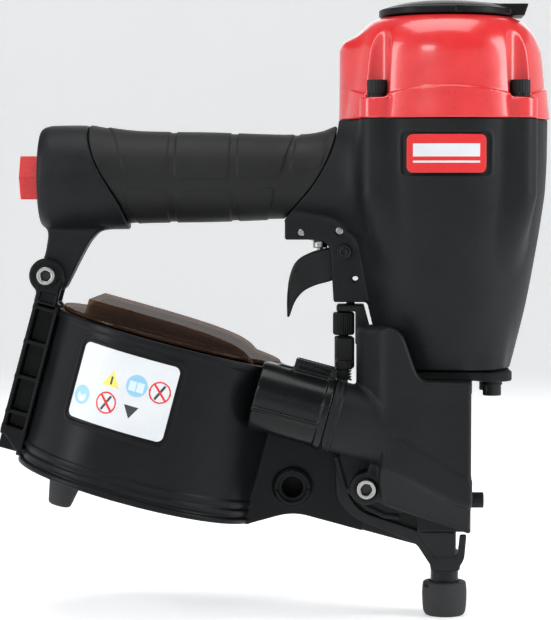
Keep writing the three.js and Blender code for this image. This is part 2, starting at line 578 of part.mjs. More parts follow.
function nosePieces() {
  add("nose_body", noseBody(), castBlack);
  cornerPlaces.forEach((place, i) => add("nose_bolt_" + (i + 1), noseScrew(place), blackSteel));
  const { y, z } = SIDE_SCREW;
  const sideScrew = join(barX(11.7, 18.4, y, z, 3.75), barX(9.2, 12.4, y, z, 1.6, 10));
  add("nose_side_screw", cut(sideScrew, barX(16.4, 20.4, y, z, 1.8, 6)), blackSteel);

  const doorPlate = plate(
    rounded([[-38, 109, 2], [3.6, 109], [3.6, 48, 2], [-6, 48, 2], [-38, 57, 2]]),
    [12, 15.4],
  );
  const knuckle = barZ(62, 98, DOOR_HINGE.x, DOOR_HINGE.y, DOOR_HINGE.radius, 16);
  const reach = block([3, DOOR_HINGE.x], [12.6, 15.4], [62, 98]);
  const latchStud = join(barY(14, 19.4, LATCH.x, LATCH.z, 1.5, 10), barY(18.9, 20.2, LATCH.x, LATCH.z, 3));
  const hingeBore = barZ(40, 120, DOOR_HINGE.x, DOOR_HINGE.y, 2.2);
  add("nose_door", join(cut(join(doorPlate, knuckle, reach), hingeBore), latchStud), blackSteel);
  add("door_hinge_pin", barZ(52, 108, DOOR_HINGE.x, DOOR_HINGE.y, 1.9), steel);
  add("door_latch", cut(
    plate(rounded([[-44, 88, 3], [-22, 90, 3], [-22, 78, 3], [-36, 79, 2], [-46, 70, 2]]), [15.8, 18.6]),
    barY(8, 22, LATCH.x, LATCH.z, 1.8, 10),
  ), blackSteel);
}

// Hinge lugs of the nose door belong to the nose casting; they stand behind its front edge.
function doorLugs() {
  const { x, y, radius } = DOOR_HINGE;
  const lug = (z0, z1) => join(
    barZ(z0, z1, x, y, radius, 16),
    block([x - radius, x + radius], [9.5, y], [z0, z1]),
  );
  return cut(join(lug(54, 61.6), lug(98.4, 106)), barZ(50, 110, x, y, 2.2));
}

// Magazine, drawn in the sloped frame.
function canFloorAndWall() {
  const bands = [[0, 4, 61.6], [5, 8.4, 61], [9.4, 12.6, 60.6]];
  const outer = join(
    barZ(0, CAN.height, 0, CAN.y, CAN.radius, ROUND),
    ...bands.map(([z0, z1, radius]) => barZ(z0, z1, 0, CAN.y, radius, ROUND)),
  );
  const inner = barZ(WALL, CAN.height + 5, 0, CAN.y, CAN.radius - WALL, ROUND);
  const farSide = block([-80, 80], [CAN.splitY, 80], [WALL + 1.2, 90]);
  return cut(outer, inner, farSide);
}

function strut() {
  const { inner, outer, low, high, eyeX, eyeZ } = STRUT;
  const web = block([outer, inner], [-2, 2], [low, high - 10]);
  const outerFlange = block([outer, outer + 2.2], [-10, 10], [low + 9, high]);
  const innerFlange = block([inner - 2, inner], [-10, 10], [low, 80]);
  const ribs = [24, 42, 60, 78].map((z) => block([outer, inner], [-10, 10], [z - 1, z + 1]));
  const eye = join(barY(-12, 12, eyeX, eyeZ, 8.8, 20), block([outer, eyeX + 8.8], [-12, 12], [80, eyeZ]));
  const slot = block([-90, -50], [-7.4, 7.4], [83, 110]);
  const toe = plate([[outer, low + 9.5], [inner, low - 1], [inner, low + 12], [outer, low + 12]], [-10, 10]);
  return cut(join(web, outerFlange, innerFlange, toe, ...ribs, eye), slot, barY(-20, 20, eyeX, eyeZ, 3.3));
}

const coverHingeBar = (z0, z1, radius = 4.2) => barZ(z0, z1, COVER_HINGE.x, COVER_HINGE.y, radius, 12);

function magazineTub() {
  const inside = barZ(WALL, 90, 0, CAN.y, CAN.radius - WALL, ROUND);
  const neckOutline = [
    [40, 0.2], [60, 0.2], [80, NECK.floor], [NECK.end, NECK.floor], [NECK.end, NECK.top], [40, 79.9],
  ];
  const neck = cut(
    plate(neckOutline, [NECK.near, NECK.far]),
    block([30, 120], [-6, 20], [NECK.floor + 3, 90]),
  );
  const can = cut(canFloorAndWall(), block([45, 70], [-6, 20], [NECK.floor + 3, 90]));
  const boss = barY(NECK.near - 2.2, NECK.near + 0.5, SNAP_RING.x, SNAP_RING.z, 9.4, 20);
  const bossHole = barY(-14, -4, SNAP_RING.x, SNAP_RING.z, 5.2, 16);
  const lowLug = join(coverHingeBar(0.3, 14), block([-64, -50], [12, 22], [0.3, 3.5]));
  const highLug = join(coverHingeBar(70.4, 79.4), block([-64, -57], [4, 19], [70.4, 79.4]));
  const hingeBore = coverHingeBar(1, 90, 2.2);
  const post = barZ(1, 66, 0, CAN.y, 6.8, 20);
  const tub = join(can, cut(neck, inside), boss, strut(), cut(join(lowLug, highLug), inside), post);
  return cut(
    sloped(cut(tub, bossHole, hingeBore)),
    barY(-14, NECK.near + 1.6, FRONT_BOLT.x, FRONT_BOLT.z, 2.2, 10),
  );
}

function magazineCover() {
  const wall = cut(
    barZ(WALL + 1.6, CAN.height, 0, CAN.y, CAN.radius, ROUND),
    barZ(0, CAN.height + 5, 0, CAN.y, CAN.radius - WALL, ROUND),
    block([-80, 80], [-80, CAN.splitY + 0.4], [-5, 90]),
  );
  const knuckle = join(coverHingeBar(14.6, 70), block([-60, -54], [16.5, 22], [14.6, 70]));
  const besideNeck = join(
    plate([[56, 15.6], [114.6, 15.6], [114.6, 79.8], [56, 79]], [8.4, NECK.far]),
    block([56, 60], [8.4, 17], [15.6, 79]),
  );
  const inside = barZ(0, 90, 0, CAN.y, CAN.radius - WALL, ROUND);
  const aroundLugs = [[0, 14.4], [70, 90]].map(([z0, z1]) => block([-70, -55], [10, 24], [z0, z1]));
  const hinge = coverHingeBar(0, 90, 2.2);
  return sloped(cut(join(cut(wall, ...aroundLugs), cut(join(knuckle, besideNeck), inside)), hinge));
}

function magazinePieces() {
  add("magazine_tub", magazineTub(), plasticBlack);
  add("magazine_cover", magazineCover(), plasticBlack);
  add("cover_hinge_pin", sloped(coverHingeBar(2.2, 76, 1.9)), steel);
  const lidDisc = barZ(CAN.height + 0.4, CAN.height + 2.6, -2, CAN.y, 56.5, ROUND);
  const dome = plate(rounded([[-44, 80.6], [-44, 90, 3], [30, 90, 8], [42, 80.6]]), [-30, 46]);
  const domeInside = plate(rounded([[-42, 78], [-42, 88, 2], [29, 88, 7], [39, 78]]), [-28, 44]);
  add("magazine_lid", sloped(cut(join(lidDisc, dome), domeInside)), smoked);
  const platform = join(barZ(12, 14.5, 0, CAN.y, 52, ROUND), barZ(12, 22, 0, CAN.y, 10, 20));
  add("nail_platform", sloped(cut(platform, barZ(0, 30, 0, CAN.y, 7.2, 20))), plasticBlack);
  const snap = cut(
    barY(NECK.near - 4.6, NECK.near - 2.4, SNAP_RING.x, SNAP_RING.z, 8.75, 24),
    barY(-20, 0, SNAP_RING.x, SNAP_RING.z, 6.4, 20),
    block([SNAP_RING.x - 1.2, SNAP_RING.x + 1.2], [-14, -12], [10, 38]),
    block([62, 90], [-14, -12], [SNAP_RING.z - 1.2, SNAP_RING.z + 1.2]),
  );
  add("magazine_snap_ring", sloped(snap), blackSteel);
  add("magazine_foot", sloped(bar([-34, -8, -0.2], [-34, -8, -15.6], 8.6, 16, 5.6)), rubberBlack);
  add("magazine_arm_bolt", sloped(cut(
    join(barY(-15.4, -12.2, STRUT.eyeX, STRUT.eyeZ, 4.6), barY(-13, 13, STRUT.eyeX, STRUT.eyeZ, 2.8)),
    barY(-17, -14, STRUT.eyeX, STRUT.eyeZ, 2, 6),
  )), steel);
  const { x, z } = FRONT_BOLT;
  const frontBolt = join(barY(-31, -27.3, x, z, 4.75), barY(-28, -7.4, x, z, 1.9, 10));
  add("magazine_front_bolt", cut(frontBolt, barY(-33, -29.4, x, z, 2.2, 6)), steel);
}

function labels() {
  const onHead = ring(LABEL.inner, LABEL.outer, 215, 245, 96);
  add("front_label", onHead.intersect(plate(
    rounded([[-21, 240, 3], [18, 240, 3], [18, 221.6, 3], [-21, 221.6, 3]]),
    [-LABEL.outer, -30],
  )), glossRed);
  const patch = cut(
    barZ(32, 72, 0, CAN.y, CAN.radius + 0.9, ROUND),
    barZ(30, 74, 0, CAN.y, CAN.radius + 0.3, ROUND),
  ).intersect(plate(rounded([[-38.7, 33.3, 3], [-38.7, 70.7, 3], [10, 70.7, 3], [10, 33.3, 3]]), [-80, -20]));
  add("side_label", sloped(patch), paperWhite);
}

add("housing_body", housingBody(), castBlack);
add("cylinder_cap", cylinderCap(), glossRed);
cornerPlaces.forEach((place, i) => add("cap_bolt_" + (i + 1), capBolt(place), blackSteel));
add("exhaust_deflector", exhaustDeflector(), plasticBlack);
add("deflector_screw", join(barZ(305.5, 306.8, 0, 0, 5, SMALL), barZ(293, 306, 0, 0, 2.2, 12)), steel);
headPieces();
handlePieces();
triggerPieces();
safetyPieces();
nosePieces();
feederPieces();
magazinePieces();
labels();

export default nailer;
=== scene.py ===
import json
import math

import bpy
import numpy as np
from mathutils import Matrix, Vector


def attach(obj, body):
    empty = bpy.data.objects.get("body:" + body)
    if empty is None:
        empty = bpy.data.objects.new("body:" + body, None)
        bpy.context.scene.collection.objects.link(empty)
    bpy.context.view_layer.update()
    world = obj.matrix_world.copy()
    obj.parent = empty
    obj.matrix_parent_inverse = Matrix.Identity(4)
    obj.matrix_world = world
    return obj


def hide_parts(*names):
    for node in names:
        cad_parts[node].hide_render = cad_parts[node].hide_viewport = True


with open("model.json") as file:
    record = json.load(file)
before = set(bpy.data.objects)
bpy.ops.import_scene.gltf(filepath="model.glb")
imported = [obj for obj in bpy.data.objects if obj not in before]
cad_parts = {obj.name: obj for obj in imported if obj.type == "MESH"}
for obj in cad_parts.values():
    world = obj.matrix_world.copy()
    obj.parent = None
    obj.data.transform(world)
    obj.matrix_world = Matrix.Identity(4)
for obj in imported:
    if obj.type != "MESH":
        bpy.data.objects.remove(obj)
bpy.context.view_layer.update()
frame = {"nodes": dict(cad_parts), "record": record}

# Every surface below is drawn in millimetres in the drive frame: x forward, y to the operator's left,
# z up, the drive axis at x = y = 0. The magazine and feeder use the sloped frame, whose origin is at
# CAN_X, 0, CAN_Z and which leans 15 degrees about y; the magazine's own axis is at y = CAN_Y.
DRIVE_AXIS = (87.3, -8.0)
CAN_X, CAN_Y, CAN_Z = -156.5, 8.0, 61.75
LEAN_COS, LEAN_SIN = math.cos(math.radians(15)), math.sin(math.radians(15))
BOLT_OFFSET = 34.6
HANDLE_Z = 219.5
CORNERS = [(-1, -1), (1, -1), (1, 1), (-1, 1)]
HOUSING_ENDS = (125.2, 247.9)
CAP_ENDS = (248.1, 299.2)
LOBE_X = -35.5
NOSE_SCREW = (22.5, 17)
VALVE_X = -62.6
VALVE_PINS = [(-72, 192.25), (-53, 193)]
TRIGGER_PIVOT = (-50.5, 182.75)
EAR_HOLE = (-45, 169.25)
ROD_X = -50.8
WHEEL_Z = 146.7
FRONT_BOLT = (-39.4, 66.6)
SNAP = (76.6, 24.3)
ARM_EYE = (-69.1, 94.3)
COVER_HINGE = (-60.5, 19)
DOOR_HINGE = (7.6, 16)
SIDE_SCREW = (-20, 60.5)
FOOT = (-34, -8)
GUARD_BACK = -12.25
CAN_SPLIT = 14.5
CAN_BORE = 57.5
LABEL_THICK = 0.35
SHARP_ANGLE = math.radians(38)


# Camera and light

def look_at(thing, target):
    direction = Vector(target) - thing.location
    thing.rotation_euler = direction.to_track_quat("-Z", "Y").to_euler()


camera_data = bpy.data.cameras.new("camera")
camera_data.sensor_width = 36
camera_data.sensor_fit = "HORIZONTAL"
camera_data.lens = 156.5
camera = bpy.data.objects.new("camera", camera_data)
bpy.context.scene.collection.objects.link(camera)
camera.location = (0.0423, -1.208, 0.209)
look_at(camera, (0.0023, -0.008, 0.1533))
bpy.context.scene.camera = camera
bpy.context.scene.view_settings.view_transform = "Standard"


def softbox(name, place, target, size, watts):
    data = bpy.data.lights.new(name, "AREA")
    data.shape = "RECTANGLE"
    data.size, data.size_y = size
    data.energy = watts
    lamp = bpy.data.objects.new(name, data)
    bpy.context.scene.collection.objects.link(lamp)
    lamp.location = place
    lamp.visible_camera = False
    look_at(lamp, target)


softbox("left_softbox", (-0.95, -0.40, 0.5), (0.02, 0, 0.17), (0.25, 0.9), 5.5)
softbox("right_softbox", (1.0, -0.30, 0.5), (0.02, 0, 0.17), (0.3, 0.9), 7.0)
softbox("front_softbox", (-0.45, -1.2, 0.9), (0.0, 0, 0.17), (0.35, 0.25), 3.2)
softbox("top_softbox", (0.0, -0.1, 1.2), (0, 0, 0.15), (0.9, 0.7), 8.0)
softbox("back_softbox", (0.1, 1.2, 0.8), (0, 0, 0.17), (1.0, 0.8), 3.0)

world = bpy.data.worlds.new("studio")
bpy.context.scene.world = world
world.use_nodes = True
sky = world.node_tree.nodes["Background"].inputs
sky["Color"].default_value = (0.93, 0.94, 0.95, 1)
sky["Strength"].default_value = 0.16


# Materials: procedural, in object coordinates, lengths in metres

def new_material(name):
    material = bpy.data.materials.new(name)
    material.use_nodes = True
    nodes = material.node_tree.nodes
    return material, nodes, material.node_tree.links, nodes["Principled BSDF"]


def noise(nodes, links, scale, detail=4.0, roughness=0.55, stretch=None):
    source = nodes.new("ShaderNodeTexCoord").outputs["Object"]
    if stretch:
        mapping = nodes.new("ShaderNodeMapping")
        mapping.inputs["Scale"].default_value = stretch
        links.new(source, mapping.inputs["Vector"])
        source = mapping.outputs["Vector"]
    texture = nodes.new("ShaderNodeTexNoise")
    texture.inputs["Scale"].default_value = scale
    texture.inputs["Detail"].default_value = detail
    texture.inputs["Roughness"].default_value = roughness
    links.new(source, texture.inputs["Vector"])
    return texture.outputs["Fac"]


def cells(nodes, links, scale):
    source = nodes.new("ShaderNodeTexCoord").outputs["Object"]
    texture = nodes.new("ShaderNodeTexVoronoi")
    texture.feature = "F1"
    texture.inputs["Scale"].default_value = scale
    links.new(source, texture.inputs["Vector"])
    return texture.outputs["Distance"]


def ramp(nodes, links, fac, stops):
    node = nodes.new("ShaderNodeValToRGB")
    elements = node.color_ramp.elements
    while len(elements) < len(stops):
        elements.new(0.5)
    for element, (position, colour) in zip(elements, stops):
        element.position = position
        element.color = (*colour, 1) if len(colour) == 3 else colour
    links.new(fac, node.inputs["Fac"])
    return node.outputs["Color"]


def grey(value):
    return (value, value, value)


def mix(nodes, links, fac, first, second, blend="MIX"):
    node = nodes.new("ShaderNodeMix")
    node.data_type = "RGBA"
    node.blend_type = blend
    for socket, value in zip((node.inputs[key] for key in ("Factor", "A", "B")), (fac, first, second)):
        if isinstance(value, (tuple, float)):
            socket.default_value = value if isinstance(value, float) else (*value, 1)
        else:
            links.new(value, socket)
    return node.outputs["Result"]


def bump(nodes, links, bsdf, layers):
    previous = None
    for height, distance in layers:
        node = nodes.new("ShaderNodeBump")
        node.inputs["Strength"].default_value = 1.0
        node.inputs["Distance"].default_value = distance
        links.new(height, node.inputs["Height"])
        if previous:
            links.new(previous, node.inputs["Normal"])
        previous = node.outputs["Normal"]
    links.new(previous, bsdf.inputs["Normal"])


def surface(name, dark, light, rough, grain=(900, 0.00004), broad=(45, 0.0), wear=None, metallic=0.0,
            coat=0.0, specular=0.5, stretch=None, pits=None, mottle=0.18):
    """A base colour that drifts from dark to light, a roughness that drifts between two values, fine
    grain in the relief, and paler rubbed edges where wear is given."""
    material, nodes, links, bsdf = new_material(name)
    drift = noise(nodes, links, broad[0], 5.0)
    fine = noise(nodes, links, grain[0], 3.0, 0.6, stretch)
    colour = ramp(nodes, links, drift, [(0.3, dark), (0.7, light)])
    speckle = ramp(nodes, links, fine, [(0.35, grey(1 - mottle)), (0.7, grey(1 + 0.6 * mottle))])
    colour = mix(nodes, links, 1.0, colour, speckle, "MULTIPLY")
    roughness = ramp(nodes, links, drift, [(0.3, grey(rough[0])), (0.7, grey(rough[1]))])
    if wear:
        rubbed, start, end = wear
        edge = nodes.new("ShaderNodeNewGeometry").outputs["Pointiness"]
        patchy = noise(nodes, links, 260, 5.0, 0.7)
        sharp = ramp(nodes, links, edge, [(start, grey(0.0)), (end, grey(1.0))])
        patches = ramp(nodes, links, patchy, [(0.42, grey(0.0)), (0.62, grey(1.0))])
        both = mix(nodes, links, 1.0, sharp, patches, "MULTIPLY")
        colour = mix(nodes, links, both, colour, rubbed)
    links.new(colour, bsdf.inputs["Base Color"])
    links.new(roughness, bsdf.inputs["Roughness"])
    layers = [(fine, grain[1])]
    if broad[1]:
        layers.append((drift, broad[1]))
    if pits:
        layers.append((cells(nodes, links, pits[0]), pits[1]))
    bump(nodes, links, bsdf, layers)
    bsdf.inputs["Metallic"].default_value = metallic
    bsdf.inputs["Coat Weight"].default_value = coat
    bsdf.inputs["Coat Roughness"].default_value = 0.12
    bsdf.inputs["Specular IOR Level"].default_value = specular
    return material


CAST = surface("powder_coated_casting", (0.0060, 0.0068, 0.0076), (0.0095, 0.0105, 0.0115), (0.42, 0.54),
               grain=(1500, 0.00008), wear=((0.10, 0.105, 0.11), 0.56, 0.68), pits=(1100, 0.00007),
               specular=0.17)
GRIP = surface("grip_rubber", (0.0070, 0.0075, 0.0080), (0.0105, 0.0110, 0.0116), (0.50, 0.62),
               grain=(1900, 0.00006), pits=(1400, 0.00008), specular=0.24)
PLASTIC = surface("moulded_plastic", (0.0050, 0.0056, 0.0064), (0.0080, 0.0088, 0.0096), (0.30, 0.42),
                  grain=(1700, 0.00003), wear=((0.045, 0.047, 0.05), 0.58, 0.72), specular=0.11)
GLOSS_PLASTIC = surface("polished_plastic", (0.0040, 0.0045, 0.0050), (0.0060, 0.0066, 0.0072), (0.18, 0.27),
                        grain=(1200, 0.00001), broad=(60, 0.00002), specular=0.2)
RED = surface("gloss_red_paint", (0.57, 0.015, 0.018), (0.65, 0.021, 0.024), (0.26, 0.36),
              grain=(500, 0.00002), broad=(90, 0.00004), coat=0.5, mottle=0.03)
PLUG = surface("red_polythene", (0.50, 0.009, 0.011), (0.60, 0.014, 0.015), (0.38, 0.5), grain=(800, 0.00003))
RUBBER = surface("tip_rubber", (0.019, 0.020, 0.021), (0.029, 0.030, 0.031), (0.68, 0.82),
                 grain=(1500, 0.00008), pits=(900, 0.00008), specular=0.35)
# This dark seal rubber is also painted into two screw sockets as shade.
SEAL_AND_SOCKET_SHADE = surface("seal_rubber_and_socket_shade", (0.008, 0.008, 0.008), (0.014, 0.014, 0.014), (0.5, 0.65))
STEEL = surface("bright_steel", (0.30, 0.30, 0.295), (0.44, 0.44, 0.43), (0.2, 0.34), grain=(1400, 0.00001),
                metallic=1.0, stretch=(1, 1, 6))
BLACK_STEEL = surface("black_oxide_steel", (0.0100, 0.0106, 0.0112), (0.018, 0.019, 0.020), (0.32, 0.46),
                      grain=(1600, 0.00002), metallic=0.4, wear=((0.15, 0.15, 0.15), 0.56, 0.7),
                      specular=0.24)
ALUMINIUM = surface("machined_aluminium", (0.55, 0.55, 0.56), (0.7, 0.7, 0.71), (0.28, 0.4),
                    grain=(900, 0.00002), metallic=1.0, stretch=(1, 1, 10))
LABEL_RED = surface("label_red", (0.60, 0.006, 0.008), (0.66, 0.009, 0.011), (0.2, 0.26),
                    grain=(700, 0.000004), coat=0.4, mottle=0.02)


def label_ink(name, dark, light, rough=(0.3, 0.4), specular=0.5):
    return surface(name, dark, light, rough, grain=(900, 0.000006), specular=specular, mottle=0.02)


LABEL_WHITE = label_ink("label_white", (0.60, 0.625, 0.65), (0.66, 0.685, 0.705), (0.34, 0.44), 0.3)
LABEL_BLUE = label_ink("label_blue", (0.22, 0.47, 0.66), (0.26, 0.51, 0.70))
LABEL_YELLOW = label_ink("label_yellow", (0.70, 0.62, 0.12), (0.75, 0.67, 0.15))
LABEL_PALE = label_ink("label_pale_blue", (0.55, 0.68, 0.78), (0.60, 0.72, 0.82))
LABEL_INK = label_ink("label_ink", (0.02, 0.02, 0.022), (0.03, 0.03, 0.032), (0.35, 0.45))


def smoked_plastic():
    material, nodes, links, bsdf = new_material("smoked_plastic")
    drift = noise(nodes, links, 30, 4.0)
    links.new(ramp(nodes, links, drift, [(0.3, (0.10, 0.050, 0.026)), (0.7, (0.15, 0.080, 0.045))]),
              bsdf.inputs["Base Color"])
    links.new(ramp(nodes, links, drift, [(0.3, grey(0.16)), (0.7, grey(0.24))]), bsdf.inputs["Roughness"])
    bump(nodes, links, bsdf, [(noise(nodes, links, 220, 3.0), 0.00004)])
    bsdf.inputs["Transmission Weight"].default_value = 0.85
    bsdf.inputs["IOR"].default_value = 1.0
    bsdf.inputs["Coat Weight"].default_value = 0.22
    bsdf.inputs["Coat Roughness"].default_value = 0.14
    return material


SMOKED = smoked_plastic()
FINISH = {
    "cast_black": CAST, "gloss_red": RED, "plug_red": PLUG, "plastic_black": PLASTIC,
    "rubber_black": RUBBER, "seal_black": SEAL_AND_SOCKET_SHADE, "steel": STEEL, "black_steel": BLACK_STEEL,
    "aluminium": ALUMINIUM, "smoked": SMOKED, "label_white": LABEL_WHITE,
}
SLOT_OF = {part["node"]: part["material_slot"] for part in frame["record"]["subparts"]}

# Distance fields. Each takes p = (x, y, z) arrays in millimetres and gives the distance to its surface,
# negative inside; q is the same in the sloped frame. Joins and cuts leave a fillet of about k.


def smooth_min(a, b, k):
    h = np.clip(0.5 + 0.5 * (b - a) / k, 0, 1)
    return b + (a - b) * h - k * h * (1 - h)


def join(first, *others, k=0.4):
    for other in others:
        first = smooth_min(first, other, k)
    return first


def cut(first, *others, k=0.4):
    for other in others:
        first = -smooth_min(-first, other, k)
    return first


def common(first, *others, k=0.4):
    for other in others:
        first = -smooth_min(-first, -other, k)
    return first


def slab(v, low, high):
    return np.abs(v - (low + high) / 2) - (high - low) / 2


def prism(across, along, r=0.0):
    """A section's distance and a length's distance, with the edge between them rounded by r."""
    a, b = across + r, along + r
    return np.hypot(np.maximum(a, 0), np.maximum(b, 0)) + np.minimum(np.maximum(a, b), 0) - r


def box(p, xs, ys, zs, r=0.0):
    q = [slab(v, *lim) + r for v, lim in zip(p, (xs, ys, zs))]
    outside = np.sqrt(sum(np.maximum(v, 0) ** 2 for v in q))
    return outside + np.minimum(np.maximum(np.maximum(q[0], q[1]), q[2]), 0) - r


def rod_x(p, y, z, radius, low, high, r=0.0):
    return prism(np.hypot(p[1] - y, p[2] - z) - radius, slab(p[0], low, high), r)


def rod_y(p, x, z, radius, low, high, r=0.0):
    return prism(np.hypot(p[0] - x, p[2] - z) - radius, slab(p[1], low, high), r)


def rod_z(p, x, y, radius, low, high, r=0.0):
    return prism(np.hypot(p[0] - x, p[1] - y) - radius, slab(p[2], low, high), r)


def hexagon(u, v, width):
    """Distance to a hexagon, flat to flat."""
    half = width / 2
    third = math.sqrt(3) / 2
    return np.maximum(np.abs(v), np.maximum(np.abs(u * third + v / 2), np.abs(u * third - v / 2))) - half


def curve(points):
    """A smooth curve through (at, value) points that never overshoots them, as a fast table."""
    at = np.array([a for a, _ in points], float)
    value = np.array([b for _, b in points], float)
    span = np.diff(at)
    rise = np.diff(value) / span
    slope = np.concatenate([rise[:1], np.zeros(len(at) - 2), rise[-1:]])
    for i in range(1, len(at) - 1):
        if rise[i - 1] * rise[i] > 0:
            w1, w2 = 2 * span[i] + span[i - 1], span[i] + 2 * span[i - 1]
            slope[i] = (w1 + w2) / (w1 / rise[i - 1] + w2 / rise[i])
    fine = np.linspace(at[0], at[-1], 600)
    i = np.clip(np.searchsorted(at, fine, side="right") - 1, 0, len(at) - 2)
    t = (fine - at[i]) / span[i]
    made = ((2 * t**3 - 3 * t**2 + 1) * value[i] + (t**3 - 2 * t**2 + t) * span[i] * slope[i]
            + (3 * t**2 - 2 * t**3) * value[i + 1] + (t**3 - t**2) * span[i] * slope[i + 1])
    return lambda v: np.interp(v, fine, made).astype(np.float32)


def outline(points, steps):
    """A closed outline of (u, v) or (u, v, radius) points with their corners rounded."""
    corners = [Vector(point[:2]) for point in points]
    made = []
    for i, point in enumerate(points):
        here = corners[i]
        radius = point[2] if len(point) > 2 else 0
        before, after = corners[i - 1] - here, corners[(i + 1) % len(points)] - here
        reach = min(radius, 0.48 * before.length, 0.48 * after.length)
        if reach <= 0:
            made.append(here)
            continue
        enter, leave = here + before.normalized() * reach, here + after.normalized() * reach
        for step in range(steps + 1):
            t = step / steps
            made.append(enter * (1 - t) ** 2 + here * (2 * t * (1 - t)) + leave * t**2)
    return made


def corners_of(us, vs, radius):
    """The corners of a rounded rectangle, for polygon."""
    return [(us[i], vs[j], radius) for i, j in ((0, 1), (1, 1), (1, 0), (0, 0))]


def polygon(u, v, points, steps=7):
    """Distance to a closed outline in the plane of u and v."""
    corners = outline(points, steps)
    u, v = np.broadcast_arrays(u, v)
    nearest = np.full(u.shape, 1e9, np.float32)
    inside = np.zeros(u.shape, bool)
    for a, b in zip(corners, corners[1:] + corners[:1]):
        ex, ey = b.x - a.x, b.y - a.y
        length = ex * ex + ey * ey
        if length < 1e-9:
            continue
        wx, wy = u - a.x, v - a.y
        t = np.clip((wx * ex + wy * ey) / length, 0, 1)
        nearest = np.minimum(nearest, (wx - ex * t) ** 2 + (wy - ey * t) ** 2)
        crosses = (a.y <= v) != (b.y <= v)
        if abs(ey) > 1e-9:
            inside ^= crosses & (u < a.x + (v - a.y) * ex / ey)
    return np.where(inside, -1, 1) * np.sqrt(nearest)


def plate(p, points, ys, r=0.0):
    return prism(polygon(p[0], p[2], points), slab(p[1], *ys), r)


def four_spots(p, at_x, at_y):
    """Distance in plan to the nearest of four upright axes at plus and minus at_x and at_y."""
    return np.hypot(np.abs(p[0]) - at_x, np.abs(p[1]) - at_y)


def step_up(v, low, high):
    t = np.clip((v - low) / (high - low), 0, 1)
    return t * t * (3 - 2 * t)


def into_slope(p):
    """The same points in the sloped frame."""
    x, y, z = p
    return ((x - CAN_X) * LEAN_COS - (z - CAN_Z) * LEAN_SIN, y,
            (x - CAN_X) * LEAN_SIN + (z - CAN_Z) * LEAN_COS)


def out_of_slope(q):
    x, y, z = q
    return (CAN_X + x * LEAN_COS + z * LEAN_SIN, y, CAN_Z - x * LEAN_SIN + z * LEAN_COS)


# Meshes from fields

CELL_CORNERS = np.array([(i, j, k) for i in (0, 1) for j in (0, 1) for k in (0, 1)])
CELL_EDGES = [(a, b) for a in range(8) for b in range(a + 1, 8)
              if np.abs(CELL_CORNERS[a] - CELL_CORNERS[b]).sum() == 1]


def net(field, low, high, step):
    """Points and quads of the field's surface: one point in each crossed cell, moved onto the surface."""
    low = np.array(low, float) - 2 * step
    counts = np.ceil((np.array(high) + 2 * step - low) / step).astype(int) + 1
    axes = [(low[i] + step * np.arange(counts[i])).astype(np.float32) for i in range(3)]
    p = (axes[0][:, None, None], axes[1][None, :, None], axes[2][None, None, :])
    values = np.broadcast_to(field(p), counts).astype(np.float32)
    inside = values < 0
    total = np.zeros(np.array(counts) - 1, np.int8)
    for i, j, k in CELL_CORNERS:
        total += inside[i:counts[0] - 1 + i, j:counts[1] - 1 + j, k:counts[2] - 1 + k]
    active = (total > 0) & (total < 8)
    where = np.argwhere(active)
    number = np.full(active.shape, -1, np.int32)
    number[active] = np.arange(len(where))
    corner = [values[tuple((where + c).T)] for c in CELL_CORNERS]
    total_point = np.zeros((len(where), 3))
    crossings = np.zeros(len(where))
    for a, b in CELL_EDGES:
        crossed = (corner[a] < 0) != (corner[b] < 0)
        t = np.where(crossed, corner[a] / np.where(crossed, corner[a] - corner[b], 1), 0)[:, None]
        point = CELL_CORNERS[a] + t * (CELL_CORNERS[b] - CELL_CORNERS[a])
        total_point += point * crossed[:, None]
        crossings += crossed
    points = low + step * (where + total_point / crossings[:, None])
    for _ in range(2):
        points = onto_surface(field, points, step)
    quads = []
    for axis in range(3):
        u, v = (axis + 1) % 3, (axis + 2) % 3
        first = np.take(inside, range(counts[axis] - 1), axis)
        second = np.take(inside, range(1, counts[axis]), axis)
        place = np.argwhere(first != second)
        place = place[(place[:, u] > 0) & (place[:, v] > 0) & (place[:, u] < counts[u] - 1)
                      & (place[:, v] < counts[v] - 1)]
        flip = first[tuple(place.T)]
        around = []
        for du, dv in ((-1, -1), (0, -1), (0, 0), (-1, 0)):
            cell = place.copy()
            cell[:, u] += du
            cell[:, v] += dv
            around.append(number[tuple(cell.T)])
        face = np.stack(around, 1)
        face[~flip] = face[~flip][:, ::-1]
        quads.append(face)
    return points, np.concatenate(quads)


def onto_surface(field, points, step):
    small = 0.05
    p = points.astype(np.float32)
    at = field(tuple(p.T))
    gradient = np.stack([
        field(tuple((p + offset).T)) - field(tuple((p - offset).T))
        for offset in np.eye(3, dtype=np.float32) * small
    ], 1) / (2 * small)
    square = np.maximum((gradient**2).sum(1), 0.2)
    move = -(at / square)[:, None] * gradient
    length = np.linalg.norm(move, axis=1, keepdims=True)
    return points + move * np.minimum(1, 0.5 * step / np.maximum(length, 1e-9))


def to_frame(points, leaning):
    """Millimetres in a drawing frame to metres in the object's frame."""
    if leaning:
        points = np.stack(out_of_slope(points.T), 1)
    return (points + np.array([*DRIVE_AXIS, 0])) / 1000


def mesh_object(name, points, faces, material):
    mesh = bpy.data.meshes.new(name)
    mesh.from_pydata(points.tolist(), [], faces.tolist() if hasattr(faces, "tolist") else faces)
    mesh.update()
    thing = bpy.data.objects.new(name, mesh)
    bpy.context.scene.collection.objects.link(thing)
    mesh.materials.append(material)
    mesh.polygons.foreach_set("use_smooth", [True] * len(mesh.polygons))
    return thing


def settle(thing, node, body):
    """Puts a piece on its body, in the place of its CAD node."""
    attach(thing, body)
    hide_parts(node)
    return thing


def sculpt(name, field, node, low, high, body="tool_body", material=None, step=0.7, leaning=False):
    """A piece made from its distance field, which is sampled between low and high."""
    points, faces = net(field, low, high, step)
    thing = mesh_object(name, to_frame(points, leaning), faces, material or FINISH[SLOT_OF[node]])
    return settle(thing, node, body)


# Head

